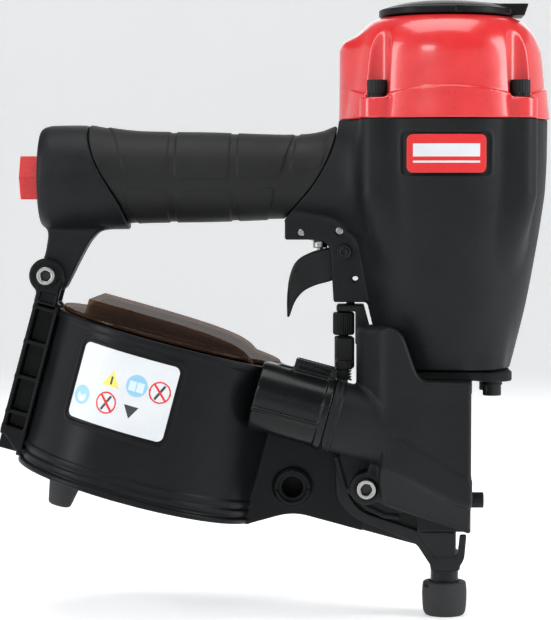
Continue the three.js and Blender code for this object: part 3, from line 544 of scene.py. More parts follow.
CONE_RADIUS = curve([(115, 29.6), (125.2, 32.2), (137, 35.2), (157, 40), (176, 43.6), (200, 47.6),
                     (214, 49.4), (232, 50.2), (250, 50.4)])
CAP_RADIUS = curve([(240, 50.8), (248, 50.4), (259, 49.2), (268, 48.4), (281, 47.0), (287.5, 44.9),
                    (294, 40.4), (298.2, 33.4), (299.4, 24), (300, 10)])
HANDLE_RADIUS = curve([(-90, 20.6), (-80, 21.2), (-66, 22.6), (-56, 24.2), (-48, 26.6), (-41, 30.5),
                       (-34, 36)])


def turned_z(p, radius_at):
    """A turned shape about the drive axis; its walls lean, so the distance is scaled down a little."""
    return (np.hypot(p[0], p[1]) - radius_at(p[2])) * 0.96


def boss_field(p, low, inset, radius):
    """The four bolt bosses; below `low` they lean in towards the cone and fade into it."""
    offset = BOLT_OFFSET - inset * np.clip((low - p[2]) / 30, 0, 1.5) ** 1.4
    return four_spots(p, offset, offset) - radius


EAR_OUTLINE = [(-80, 214), (-80, 188.75, 1.2), (-61.5, 188.75, 3), (-57.4, 184.6, 4), (-55.8, 157.8, 1.2),
               (-39, 157.8, 1), (-45.4, 192, 6), (-40, 214)]
RIB_OUTLINE = [(-42.5, 151.5, 0.8), (-30, 151.5), (-30, 127), (-37.5, 127, 0.8), (-42.5, 136, 2)]


def housing_field(p):
    x, y, z = p
    cone = turned_z(p, CONE_RADIUS)
    bosses = boss_field(p, 212, 9, 8.4)
    lobe = np.maximum(np.hypot(x - LOBE_X, y) - 17.3, 196 - z)
    head = join(join(cone, lobe, k=8), bosses, k=6)
    stub = np.hypot(y, z - HANDLE_Z) - HANDLE_RADIUS(np.clip(x, -90, -34))
    stub = np.maximum(stub, slab(x, -80, -20))
    ears = plate(p, EAR_OUTLINE, (-13, 13), 0.8)
    slot = box(p, (-100, -20), (-8.8, 8.8), (140, 188.75))
    ears = cut(ears, np.maximum(slot, -(turned_z(p, CONE_RADIUS) - 0.5)))
    rib = plate(p, RIB_OUTLINE, (-2.4, 2.4), 0.5)
    head = join(head, rib, k=1.5)
    body = join(head, stub, k=9)
    body = join(body, ears, k=2.2)
    pocket = prism(polygon(x, z, corners_of((-22.6, 19.6), (220.4, 241), 3)), y + 40, 0)
    body = body + 0.7 * step_up(-pocket, -0.6, 0.6)
    frame_line = np.abs(pocket - 0.9)
    body = body - 0.25 * np.exp(-(frame_line / 0.8) ** 2) * (y < 0)
    envelope = np.maximum(slab(y, -60, 60), grip_side(x, z, 0.15))
    body = cut(body, np.maximum(envelope, -(np.hypot(y, z - HANDLE_Z) - 18.2)), k=0.3)
    yoke_way = box(p, (-47, -35.8), (-8.3, 8.3), (141, 165.6), 0.4)
    holes = join(valve_pin_holes(p), rod_y(p, *TRIGGER_PIVOT, 2.5, -20, 20),
                 rod_y(p, *EAR_HOLE, 1.5, -20, 20), yoke_way)
    body = cut(body, holes, k=0.5)
    body = cut(body, boss_holes(p, 224), k=0.3)
    body = prism(body, slab(z, *HOUSING_ENDS), 0.5)
    inner = turned_z(p, curve([(110, 21), (129.4, 21), (131, 28.5), (176, 29.5), (188, 38), (196, 41),
                               (260, 41)]))
    valve = rod_z(p, VALVE_X, 0, 7.0, 170, 204)
    return cut(body, np.maximum(inner, 116 - z), valve, k=0.6)


def boss_holes(p, low):
    return np.maximum(four_spots(p, BOLT_OFFSET, BOLT_OFFSET) - 2.9, low - p[2])


def valve_pin_holes(p):
    return join(*(rod_y(p, x, z, 1.8, -20, 20) for x, z in VALVE_PINS))


GRIP_LEFT = curve([(190, -156.4), (197, -158.3), (205.4, -161.3), (213.75, -166.0), (222, -170.9),
                   (232, -175.2), (240, -177.3), (250, -178.2)])
GRIP_RIGHT = curve([(190, -87.5), (199.6, -79.6), (207, -73), (214.6, -66.6), (225.4, -60), (235.4, -56),
                    (243.7, -54), (250, -53.2)])


def grip_side(x, z, clearance):
    """Distance to the region the grip covers, seen from the side; its two ends are curved seams."""
    z = np.clip(z, 190, 250)
    return np.maximum(GRIP_LEFT(z) - x, x - GRIP_RIGHT(z)) * 0.85 - clearance


sculpt("housing_casting", housing_field, "housing_body", (-81, -50, 125), (53.5, 50, 248.5))


def cap_field(p):
    x, y, z = p
    around = np.arctan2(np.minimum(np.abs(x), np.abs(y)), np.maximum(np.abs(x), np.abs(y)) + 1e-6)
    body = turned_z(p, CAP_RADIUS)
    crease = 258.6 + 4.6 * np.cos(2 * around)
    band = np.maximum(body - 1.0, (z - crease) * 0.8)
    lobe = prism(np.hypot(x - LOBE_X, y) - 17.5, slab(z, 230, 288.5), 7)
    body = join(body, lobe, k=5)
    body = join(body, band, k=0.5)
    boss = prism(four_spots(p, BOLT_OFFSET, BOLT_OFFSET) - 8.5, slab(z, 230, 258.6), 1.6)
    body = join(body, boss, k=2.6)
    flute = prism(four_spots(p, BOLT_OFFSET + 0.6, BOLT_OFFSET + 0.6) - 7.0, slab(z, 258.3, 310), 0.6)
    body = cut(body, flute, k=1.6)
    body = cut(body, boss_holes(p, 230), k=0.3)
    body = prism(body, slab(z, *CAP_ENDS), 0.5)
    hollow = turned_z(p, curve([(240, 41), (262, 41), (268, 37), (286, 34), (289, 14), (292, 12), (305, 12)]))
    return cut(body, hollow)


sculpt("cap_cover", cap_field, "cylinder_cap", (-54, -51.5, 248), (52.5, 51.5, 299.5), step=0.6)


def deflector_field(p):
    x, y, z = p
    across = np.hypot(x, y)
    dome = z - (307.0 - 4.6 * (across / 33.5) ** 3)
    disc = np.maximum(prism(across - 33.4, slab(z, 299.2, 312), 0.8), dome * 0.95)
    disc = cut(disc, np.hypot(across - 30.6, z - 303.9) - 0.55, k=0.4)
    lip = np.maximum(box(p, (18, 40.3), (-12.5, 12.5), (299.4, 305.2), 1.0), (x - 40.3) + 0.35 * (305.6 - z))
    disc = join(disc, lip, k=1.2)
    disc = cut(disc, box(p, (3.5, 11.5), (-36, -32.3), (299.9, 302.6), 0.3), k=0.3)
    disc = cut(disc, box(p, (3.5, 12.5), (-36, -33.0), (302.4, 304.6), 0.3), k=0.3)
    disc = cut(disc, box(p, (30, 46), (-10.5, 10.5), (300.9, 303.6), 0.4), k=0.4)
    chamber = np.maximum(np.maximum(11 - across, across - 29), slab(z, 290, 303.2))
    recess = prism(across - 7, slab(z, 305.3, 320), 0.3)
    return cut(disc, chamber, recess, rod_z(p, 0, 0, 2.4, 290, 312), k=0.3)


sculpt("exhaust_cover", deflector_field, "exhaust_deflector", (-34, -34, 299), (41, 34, 307.2),
       body="exhaust_deflector", step=0.5)

# Handle

GRIP_RADIUS = curve([(-185, 26.2), (-178, 26.2), (-172, 25.3), (-165, 24.1), (-158, 23.2), (-150, 22.6),
                     (-135, 22.3), (-120, 22.1), (-103, 21.6), (-90, 21.1), (-80, 20.9), (-70, 21.2),
                     (-62, 22.4), (-57, 24.3), (-50, 27)])
PANELS = [
    [(-170, 40), (-163, 17.5, 4), (-159.5, 3.4, 3), (-138, 0.3, 2), (-137.2, 40)],
    [(-134, 40), (-134, -0.7, 2.5), (-107.5, -0.7, 2.5), (-107, 40)],
    [(-103.4, 40), (-103.2, -0.3, 2.5), (-81.8, 1.8, 2.5), (-76.8, 22, 5), (-75, 40)],
    [(-72, 40), (-74, 23, 5), (-77.4, 2.9, 2.5), (-62.4, 4.8, 2.5), (-57.2, 20, 4), (-54, 40)],
    [(-159.5, -4.2, 2), (-138, -7.0, 2.5), (-137.6, -40), (-152, -40), (-154.7, -24)],
    [(-134, -6.9, 2.5), (-107, -6.9, 2.5), (-106.6, -40), (-134, -40)],
    [(-103.4, -6.8, 2.5), (-85, -5.2, 2.5), (-88, -24), (-90, -40), (-103, -40)],
]


def grip_field(p):
    x, y, z = p
    across = np.hypot(y, z - HANDLE_Z - 0.3)
    round_it = 22.0 * np.arcsin(np.clip((z - HANDLE_Z) / np.maximum(across, 1e-3), -1, 1))
    relief = 0
    for panel in PANELS:
        relief = relief + step_up(-polygon(x, round_it, panel, 4), -0.35, 0.35)
    outer = across - GRIP_RADIUS(np.clip(x, -185, -50)) - 0.55 * relief + 0.1
    return cut(prism(outer, grip_side(x, z, -0.15), 0.9), np.hypot(y, z - HANDLE_Z) - 18.5, k=0.3)


sculpt("grip_sleeve", grip_field, "handle_grip", (-179, -27, 192), (-52, 27, 247), material=GRIP, step=0.6)

HANGER = [(-198.8, 205), (-198.6, 190), (-200.2, 179.5, 8), (-206.8, 170.5, 9), (-199, 162.6, 9),
          (-190.6, 163.2, 4), (-187.4, 169.5, 6), (-182.4, 179.4, 14), (-177.4, 188.6, 10),
          (-170.5, 195.2, 6), (-160, 199.5), (-170, 206)]


def end_cap_field(p):
    x, y, z = p
    radius = curve([(-206, 22.6), (-202, 24.0), (-199.5, 25.4), (-196, 26.1), (-185, 26.3), (-170, 25.9),
                    (-150, 25.6)])
    barrel = np.hypot(y, z - HANDLE_Z) - radius(np.clip(x, -206, -150))
    clear = np.clip(z, 190, 250)
    barrel = prism(barrel, np.maximum(-202.2 - x, (x - GRIP_LEFT(clear)) * 0.85 + 0.2), 1.0)
    hanger = plate(p, HANGER, (-7, 7), 1.4)
    body = join(barrel, np.maximum(hanger, x - GRIP_LEFT(clear) + 0.3), k=3)
    bore = join(np.hypot(y, z - HANDLE_Z) - 9, prism(np.hypot(y, z - HANDLE_Z) - 18.5, slab(x, -196, -140)))
    body = cut(body, np.maximum(bore, -206 - x), k=0.5)
    body = cut(body, np.hypot(np.hypot(y, z - HANDLE_Z) - 13.2, x + 202.4) - 0.5, k=0.4)
    return cut(body, rod_y(p, -198.8, 170.75, 3.3, -12, 12), k=0.6)


sculpt("end_cap_casting", end_cap_field, "handle_end_cap", (-207, -26.5, 160), (-156, 26.5, 246), step=0.6)


def plug_field(p):
    x, y, z = p
    six = prism(hexagon(y, z - HANDLE_Z, 21.6), slab(x, -212.4, -202.4), 0.6)
    six = cut(six, prism(np.hypot(y, z - HANDLE_Z) - 6.5, slab(x, -220, -210.6), 0.4), k=0.5)
    return join(six, rod_x(p, 0, HANDLE_Z, 8.6, -202.8, -190, 0.5), k=0.6)


sculpt("transport_plug", plug_field, "inlet_plug", (-213, -13, 206), (-189, 13, 233), body="inlet_plug",
       step=0.45)

# Trigger and valve

TRIGGER_OUTLINE = [(-46.5, 186.5, 3), (-58.5, 184.8, 6), (-67, 182.6, 8), (-75, 178.4, 5), (-78.2, 170, 9),
                   (-79.3, 159, 6), (-79.1, 149.9, 0.8), (-77.9, 150.0, 0.8), (-75.4, 157.6, 6),
                   (-71.2, 163.0, 7), (-64.5, 166.2, 8), (-57.5, 167.8, 6), (-46.2, 173, 4)]


def trigger_field(p):
    x, y, z = p
    side = polygon(x, z, TRIGGER_OUTLINE, 9)
    half = 7.4 - 2.6 * step_up(-x, 70, 79.5) * step_up(168 - z, 0, 14)
    body = prism(side, np.abs(y) - half, 1.6)
    channel = [(-44, 192), (-73.6, 192), (-76, 172.4, 2), (-70.4, 168.4, 3), (-57, 171, 3), (-44, 172)]
    body = cut(body, plate(p, channel, (-5, 5)), rod_y(p, *TRIGGER_PIVOT, 2.5, -12, 12), k=0.6)
    return join(body, rod_y(p, -75.1, 172.2, 1.25, -7.7, 7.7, 0.3), k=0.1)


sculpt("finger_trigger", trigger_field, "trigger", (-80, -8, 149), (-45.5, 8, 188), body="trigger",
       step=0.42)


def pin_field(p):
    x, y, z = p
    pin = rod_y(p, *TRIGGER_PIVOT, 2.2, -14, 14, 0.3)
    head = rod_y(p, *TRIGGER_PIVOT, 3.7, -14.8, -13.1, 0.5)
    body = join(pin, head, k=0.3)
    groove = np.hypot(np.hypot(x - TRIGGER_PIVOT[0], z - TRIGGER_PIVOT[1]) - 2.5, y + 14.8) - 0.35
    dimple = rod_y(p, *TRIGGER_PIVOT, 1.3, -16, -14.2, 0.3)
    return cut(body, groove, dimple, k=0.3)


sculpt("pivot_pin", pin_field, "trigger_pivot_pin", (-54.5, -15, 178.5), (-46.5, 14.5, 187), step=0.3)


def bushing_field(p):
    x, y, z = p
    radius = curve([(184.4, 3.6), (187.4, 3.7), (188.0, 4.2), (188.6, 6.2), (189.2, 6.75), (204, 6.75)])
    outer = prism(np.hypot(x - VALVE_X, y) - radius(np.clip(z, 184.4, 204)), slab(z, 184.6, 203.3), 0.3)
    inner = join(rod_z(p, VALVE_X, 0, 1.9, 180, 194), rod_z(p, VALVE_X, 0, 5.6, 193.4, 210))
    return cut(outer, inner, valve_pin_holes(p), k=0.2)


sculpt("valve_sleeve", bushing_field, "valve_bushing", (-70, -7.5, 184), (-55, 7.5, 204), step=0.35)


def wire(name, node, path, radius):
    """A round wire along a smooth path, as a mesh swept from rings."""
    path = to_frame(path, leaning=False)
    sides = 10
    tangent = np.gradient(path, axis=0)
    tangent /= np.linalg.norm(tangent, axis=1, keepdims=True)
    side = np.cross(tangent[0], [0.3, 0.9, 0.31])
    rings = []
    for centre, along in zip(path, tangent):
        side = side - along * side.dot(along)
        side /= np.linalg.norm(side)
        other = np.cross(along, side)
        angles = np.arange(sides)[:, None] * 2 * np.pi / sides
        rings.append(centre + radius / 1000 * (np.cos(angles) * side + np.sin(angles) * other))
    count = len(rings)
    faces = [[i * sides + j, i * sides + (j + 1) % sides, (i + 1) * sides + (j + 1) % sides,
              (i + 1) * sides + j]
             for i in range(count - 1) for j in range(sides)]
    faces.append(list(range(sides))[::-1])
    faces.append([(count - 1) * sides + j for j in range(sides)])
    thing = mesh_object(name, np.concatenate(rings), faces, FINISH[SLOT_OF[node]])
    return settle(thing, node, "tool_body")


def helix(x, y, low, high, radius, turns):
    t = np.linspace(0, 1, int(turns * 28) + 1)
    angle = t * turns * 2 * np.pi
    return np.stack([x + radius * np.cos(angle), y + radius * np.sin(angle), low + t * (high - low)], 1)


# Safety linkage

YOKE_TOP = [(-54.4, 156.4, 1.2), (-40.4, 156.4, 2), (-30, 153.0, 1), (-30, 136.5, 1), (-45, 136.5, 1),
            (-45, 152.9, 0.4), (-54.4, 152.9, 1)]


def upper_arm_field(p):
    yoke = plate(p, YOKE_TOP, (-7.5, 7.5), 0.7)
    yoke = cut(yoke, box(p, (-43.2, -20), (-3.2, 3.2), (120, 152.2)), k=0.3)
    riser = box(p, (-49.4, -45.4), (-4.1, 4.1), (155, 164.2), 0.6)
    flare = curve([(110, 32), (120, 33.6), (137, 36.0), (145, 38.0), (158, 41.4), (170, 44)])
    rod_hole = rod_z(p, ROD_X, 0, 2.9, 148, 159)
    return cut(join(yoke, riser, k=1.0), turned_z(p, flare) - 0.35, rod_hole, k=0.3)


sculpt("safety_yoke", upper_arm_field, "upper_safety_arm", (-55, -8, 136), (-37, 8, 165),
       body="upper_arm", step=0.42)


def wheel_field(p):
    x, y, z = p
    angle = np.arctan2(y, x - ROD_X)
    across = np.hypot(x - ROD_X, y)
    knurl = 0.32 * np.cos(angle * 30) * step_up(6.1 - np.abs(z - WHEEL_Z), 0.4, 1.4)
    wheel = prism((across - 5.1 - knurl) * 0.8, slab(z, 140.9, 152.5), 0.7)
    return cut(wheel, across - 2.9, k=0.4)


sculpt("knurled_wheel", wheel_field, "depth_wheel", (-56.5, -6, 140.5), (-45, 6, 153), body="depth_wheel",
       step=0.3)

ARM_OUTLINE = [(-54.6, 128.5, 1), (-54.6, 60, 8), (-47, 50.5, 6), (-14.5, 37.4, 3), (-5.6, 23.8, 1.5),
               (4.8, 23.4, 1), (9.4, 28.6, 4), (10.6, 42, 1), (7.2, 42, 1), (6.2, 33, 3), (5.0, 30.6, 1),
               (4.9, 43.5), (-12, 43.5, 3), (-42, 53.5, 6), (-48.6, 62, 5), (-48.6, 128.5, 1)]


def lower_arm_field(p):
    x, y, z = p
    sleeve = rod_z(p, ROD_X, 0, 4.6, 124.2, 140.4, 0.7)
    collar = box(p, (-54.6, -45.4), (-6.0, 4.4), (124.4, 139.8), 1.2)
    thread = (np.hypot(x - ROD_X, y) - 2.45 - 0.14 * np.cos(2 * np.pi * z / 1.25)) * 0.9
    thread = np.maximum(thread, slab(z, 138, 151.6))
    shoulder = box(p, (-54.6, -46.4), (-11.7, 0), (124.3, 128.6), 0.6)
    strip = plate(p, ARM_OUTLINE, (-11.7, -9.4), 0.6)
    crease = np.abs((x + 12.4) * 0.80 + (z - 41) * 0.60)
    strip = cut(strip, np.hypot(crease, y + 12.0) - 0.55, k=0.3)
    foot = box(p, (-7.4, 7.4), (-11.7, -4), (23.6, 31.4), 1.6)
    foot = cut(foot, rod_z(p, 0, 0, 7.2, 10, 50))
    return join(join(sleeve, collar, thread, k=0.2), join(shoulder, strip, foot, k=0.8), k=0.8)


sculpt("safety_arm", lower_arm_field, "lower_safety_arm", (-56, -12.2, 22), (12, 5.5, 152),
       body="lower_arm", step=0.45)


def tube_field(p):
    x, y, z = p
    across = np.hypot(x, y)
    outer = prism(across - 6.95, slab(z, 3.2, 33), 0.4)
    flat = box(p, (-9, -4.6), (-9, 9), (26.5, 40), 0.8)
    return cut(outer, across - 6.1, flat, k=0.3)


sculpt("contact_sleeve", tube_field, "contact_tube", (-7.5, -7.5, 3), (7.5, 7.5, 33.5), body="lower_arm",
       step=0.4)


def tip_field(p):
    x, y, z = p
    across = np.hypot(x, y)
    radius = curve([(-1, 8.8), (0.4, 9.6), (2, 10.5), (6, 11.0), (11, 11.2), (14.5, 11.05), (17.2, 10.6),
                    (18, 10.2)])
    body = prism((across - radius(np.clip(z, -1, 18))) * 0.96, slab(z, 0, 17.2), 0.8)
    socket = np.maximum(across - 7.5, 2.9 - z)
    body = cut(body, socket, across - 5, k=0.5)
    notch = prism(np.hypot(x + 9.6, y + 5) - 2.3, slab(z, 14.8, 20), 0.4)
    return cut(body, notch, k=0.8)


sculpt("rubber_tip", tip_field, "no_mar_tip", (-11.5, -11.5, 0), (11.5, 11.5, 17.5), body="lower_arm",
       step=0.4)

wire("return_spring", "safety_spring", helix(ROD_X, 0, 118.4, 123.6, 3.5, 3.5), 0.6)


# Nose and feeder

FEED_Y, FEED_Z, FEED_RADIUS = -26.0, 65.7, 17.5
GUARD_FRONT = -43.0
GUARD_RAISED = [(-44.5, 147, 4), (-23, 147, 8), (-15.2, 124.4, 6), (-11.8, 120.6, 4), (11.3, 120, 2),
                (11.3, 59, 3), (4, 60.5, 4), (-25.5, 77, 5), (-30.5, 86, 4), (-30.5, 98, 2), (-44.5, 100)]
GUARD_SKIRT = [(11.3, 76), (11.3, 44.9, 1), (-22, 55.8, 3), (-34, 59.6, 4), (-40, 77, 6), (-30, 88),
               (-10, 88)]
SKIRT_REGION = [(11.3, 72), (11.3, 44.9, 1), (-24, 56.6, 3), (-31.5, 59.4, 4), (-33.5, 72, 5), (-31, 92),
                (-22, 92)]
GUARD_HOLLOW = [(-42, 144.4, 3), (-24.6, 144.4, 6), (-17.7, 123.8, 4), (-12.6, 117.9, 3), (8.8, 117.4, 1),
                (8.8, 62.2), (4.6, 63.2), (-23.5, 79.4, 3), (-28, 88), (-28, 100), (-42, 102)]
RIB_LINE = [(-54.4, 80.7), (-50.4, 65.9), (-43.7, 60.9), (-39.4, 56.0), (-30.2, 51.7), (-23.9, 51.1)]
RIB_WEB = [*RIB_LINE, (-14, 60), (-20, 84), (-50, 88)]


def feeder_rod(q, low, high, radius, r=0.0):
    return rod_x(q, FEED_Y, FEED_Z, radius, low, high, r)


def near_line(u, v, points):
    """Distance to an open line through the points."""
    nearest = 1e9
    for (ax, ay), (bx, by) in zip(points, points[1:]):
        ex, ey = bx - ax, by - ay
        t = np.clip(((u - ax) * ex + (v - ay) * ey) / (ex * ex + ey * ey), 0, 1)
        nearest = np.minimum(nearest, np.hypot(u - ax - t * ex, v - ay - t * ey))
    return nearest


def nose_field(p):
    x, y, z = p
    q = into_slope(p)
    flange = polygon(x, y, corners_of((-32, 32), (-25, 25), 5))
    flange = prism(flange, slab(z, 119.7, 124.4), 0.7)
    ears = four_spots(p, *NOSE_SCREW) - 9.2
    flange = join(flange, prism(ears, slab(z, 119.7, 123.9), 0.8), k=1.5)
    drive = box(p, (-14, 12), (-8.6, 11.5), (43.5, 120), 1.0)
    snout = rod_z(p, 0, 0, 5.8, 15, 46, 0.5)
    guide = box(q, (114.6, 144), (-8.5, 11.5), (12.4, 80.6), 0.8)
    channel = np.maximum(box(q, (90, 151.3), (-5, 14), (17, 77.6), 0.3),
                         -box(p, (5, 30), (-4.9, 30), (0, 130)))
    window = box(q, (108, 146), (-12, -4), (56, 74), 0.6)
    core = cut(join(drive, guide, k=1.0), channel, window)
    facet = -(x + 30.5) * 0.755 - (y - GUARD_FRONT) * 0.656
    raised = prism(polygon(x, z, GUARD_RAISED, 6), slab(y, GUARD_FRONT, -13.2), 2.2)
    raised = common(raised, facet, k=4)
    skirt = plate(p, GUARD_SKIRT, (-27, -23), 1.4)
    low_edge, high_edge = 44.8 - 0.334 * (x - 11.6), 61.2 - 0.42 * (x - 10.9)
    lean = -27 - 16 * np.clip((z - low_edge) / (high_edge - low_edge), 0, 1)
    slope = prism(polygon(x, z, SKIRT_REGION, 4), np.maximum((lean - y) * 0.72, y + 16), 1.2)
    shell = join(raised, skirt, k=2.6)
    shell = join(shell, np.maximum(slope, facet), k=2.2)
    hollow = np.maximum(polygon(x, z, GUARD_HOLLOW, 4), slab(y, GUARD_FRONT + 2.5, -9))
    hollow = np.maximum(hollow, facet + 2.5)
    shell = cut(shell, hollow, k=0.8)
    barrel = feeder_rod(q, 84.3, 118, FEED_RADIUS, 2.0)
    collar = feeder_rod(q, 84.3, 89, FEED_RADIUS + 0.8, 0.5)
    off_axis = np.hypot(q[1] - FEED_Y, q[2] - FEED_Z)
    collar = cut(collar, np.hypot(off_axis - FEED_RADIUS - 0.7, q[0] - 86.9) - 0.45)
    body = join(shell, barrel, k=2.2)
    body = join(body, collar, k=0.5)
    body = join(body, rod_y(p, *FRONT_BOLT, 8, -27, -12.4, 1.0), k=2.2)
    web = prism(polygon(x, z, RIB_WEB, 4), slab(y, -16.2, -12.3), 0.8)
    rib = prism(near_line(x, z, RIB_LINE) - 1.1, slab(y, -16.9, -12.3), 0.5)
    body = join(body, web, rib, k=1.2)
    stiffener = join(box(p, (-12, 12), (-32, -8), (114, 120)), box(p, (8.8, 11.3), (-32, -8), (60, 116)))
    body = join(body, stiffener, k=0.6)
    body = np.maximum(body, y - GUARD_BACK)
    lug = join(rod_z(p, *DOOR_HINGE, 3.6, 54, 106, 0.4), box(p, (4, 11.2), (9.5, 16), (54, 106), 0.4), k=0.3)
    lug = np.maximum(lug, -slab(z, 61.6, 98.4))
    spine = box(p, (-14, 12), (-13.5, -8), (43.6, 120), 0.4)
    spine = np.maximum(spine, -box(q, (108, 146), (-20, 0), (50, 80)))
    body = join(join(body, lug, k=0.3), join(flange, core, snout, spine, k=1.2), k=0.8)
    body = cut(body, feeder_rod(q, 82, 107.5, 13.6), feeder_rod(q, 105, 122, 3.4), k=0.4)
    body = cut(body, feeder_rod(q, 110.5, 130, 14.6, 1.0), k=0.4)
    body = cut(body, rod_z(p, 0, 0, 4.2, 5, 130), rod_z(p, *DOOR_HINGE, 2.2, 50, 110), k=0.3)
    flare = turned_z(p, curve([(110, 33), (124.6, 33), (126, 33.6), (137, 36.2), (147, 38.8), (150, 39.6)]))
    body = cut(body, np.maximum(flare, 124.6 - z), k=0.5)
    screws = np.maximum(four_spots(p, *NOSE_SCREW) - 2.8, slab(z, 100, 130))
    bolt = rod_y(p, *FRONT_BOLT, 3.3, -60, 20)
    seat = rod_y(p, *FRONT_BOLT, 5.3, -40, -26.8, 0.2)
    side = rod_x(p, *SIDE_SCREW, 1.9, 4, 30)
    arm_way = box(p, (-15, 11.7), (-12.5, -8.8), (40, 52.8))
    return cut(body, screws, bolt, seat, side, arm_way, k=0.4)


sculpt("nose_casting", nose_field, "nose_body", (-60, -49, 14.5), (33.5, 20, 148), step=0.62)


def feeder_cap_field(q):
    x, y, z = q
    shell = feeder_rod(q, 47, 84, FEED_RADIUS, 1.2)
    lip = feeder_rod(q, 80.4, 84, FEED_RADIUS + 0.8, 0.5)
    shell = join(shell, lip, k=0.8)
    ridge = box(q, (47, 81), (-43.9, -36), (59.4, 61.0), 0.6)
    tab = box(q, (62, 83), (-32, -20), (80.5, 88.6), 0.8)
    tab = cut(tab, box(q, (64.4, 80.6), (-34, -29.6), (84.2, 87.2), 0.4),
              box(q, (63.5, 81.5), (-30, -22), (86, 91), 0.8), k=0.5)
    web = box(q, (55, 83), (-29, -23), (80, 83.6), 1.0)
    body = join(shell, ridge, tab, web, k=1.3)
    body = cut(body, feeder_rod(q, 50, 90, 13.5), k=0.4)
    keep = np.maximum(np.hypot(x, y - CAN_Y) - 62.4, slab(z, -5, 96))
    body = np.maximum(body, -np.maximum(keep, z - 81))
    body = np.maximum(body, -np.maximum(np.hypot(x, y - CAN_Y) - 60.6, slab(z, 0, 100)))
    return np.maximum(body, y - GUARD_BACK)


sculpt("feeder_cover", feeder_cap_field, "feeder_cap", (42, -48.5, 47), (85, -12, 89.5),
       material=GLOSS_PLASTIC, step=0.5, leaning=True)


# Magazine

def band(z, low, high, soft=0.5):
    return step_up(z, low, low + soft) * (1 - step_up(z, high - soft, high))


def can_radius(z):
    return (60.0 + 1.3 * band(z, -0.5, 3.2) + 0.9 * band(z, 4.2, 7.6) + 0.6 * band(z, 8.8, 12.0)
            + 0.55 * band(z, 76.2, 81, 0.4))


def tub_field(q):
    x, y, z = q
    across = np.hypot(x, y - CAN_Y)
    angle = np.arctan2(x, -(y - CAN_Y))
    wall = across - can_radius(z)
    label_frame = polygon(angle * 60, z, corners_of((-43.6, 11.6), (31.6, 72.4), 4))
    label_frame = prism(label_frame, slab(z, 0, 80))
    wall = wall + 0.5 * step_up(-label_frame, -0.4, 0.4)
    wall = wall - 0.45 * np.exp(-((label_frame - 0.7) / 0.6) ** 2) * (y < 8)
    can = prism(wall, slab(z, 0, 80), 0.8)
    inside = np.maximum(across - CAN_BORE, 2.5 - z)
    can = cut(can, inside, k=0.6)
    far_half = np.where(y > CAN_SPLIT, np.where(z > 3.7, y - CAN_SPLIT, 0), -0.2)
    can = np.maximum(can, far_half)
    neck = [(40, 0.2), (60, 0.2), (80, 12, 8), (116, 12), (116, 80.6, 1.5), (66, 79.9, 6), (40, 79.9)]
    neck_wall = cut(plate(q, neck, (-8.5, 10.5), 0.8),
                    plate(q, [(30, 15), (120, 15), (120, 90), (30, 90)], (-6, 20)), k=0.4)
    neck_wall = join(neck_wall, box(q, (61, 116), (-10.1, -8), (78.0, 80.6), 0.6), k=0.8)
    neck_wall = np.maximum(neck_wall, -inside)
    opening = plate(q, [(45, 15), (70, 15), (70, 90), (45, 90)], (-6, 20))
    can = cut(can, opening)
    ledge = box(q, (54, 62), (-14, -8), (60, 61.6), 0.5)
    boss = rod_y(q, *SNAP, 9.4, -10.7, -8, 0.6)
    body = join(can, neck_wall, ledge, boss, k=2.0)
    body = join(body, strut_field(q), k=1.2)
    lugs = join(rod_z(q, *COVER_HINGE, 4.2, 0.3, 14, 0.4), box(q, (-64, -50), (12, 22), (0.3, 3.5), 0.4),
                rod_z(q, *COVER_HINGE, 4.2, 70.4, 79.4, 0.4),
                box(q, (-64, -57), (4, 19), (70.4, 79.4), 0.4), k=0.8)
    body = join(body, np.maximum(lugs, -inside), rod_z(q, 0, CAN_Y, 6.8, 1, 66, 0.8), k=0.8)
    body = cut(body, rod_y(q, *SNAP, 5.2, -14, -4, 0.3), rod_z(q, *COVER_HINGE, 2.2, 1, 90), k=0.4)
    return cut(body, rod_y(out_of_slope(q), *FRONT_BOLT, 2.2, -14, -6.9), k=0.3)


def strut_field(q):
    x, y, z = q
    web = box(q, (-72, -59), (-2, 2), (4, 86), 0.5)
    outer = box(q, (-72, -69.8), (-10, 10), (12, 96), 0.7)
    inner = box(q, (-61, -59), (-10, 10), (4, 82), 0.7)
    ribs = [box(q, (-72, -59), (-10, 10), (at - 0.9, at + 0.9), 0.5) for at in (24, 42, 60, 78)]
    eye = rod_y(q, *ARM_EYE, 8.8, -12, 12, 1.2)
    cheek = box(q, (-72, -60.6), (-12, 12), (80, 95), 1.2)
    pockets = [box(q, (-69.6, -61.8), ys, (81.4, 86.2), 0.6) for ys in ((-14, -10.5), (10.5, 14))]
    toe = plate(q, [(-72, 14), (-59, 3, 1), (-59, 16), (-72, 17)], (-10, 10), 0.8)
    fork = cut(join(eye, cheek, k=2), *pockets, k=0.8)
    body = join(web, outer, inner, toe, fork, k=0.9)
    body = join(body, *ribs, k=0.9)
    body = np.maximum(body, -box(q, (-95, -50), (-7.4, 7.4), (83, 112)))
    ring = np.hypot(np.hypot(x - ARM_EYE[0], z - ARM_EYE[1]) - 5.9, np.abs(y) - 12) - 0.4
    return cut(body, rod_y(q, *ARM_EYE, 3.3, -20, 20), ring, k=0.5)


sculpt("magazine_shell", tub_field, "magazine_tub", (-79, -54.5, -1), (117, 23.5, 104), step=0.66,
       leaning=True)


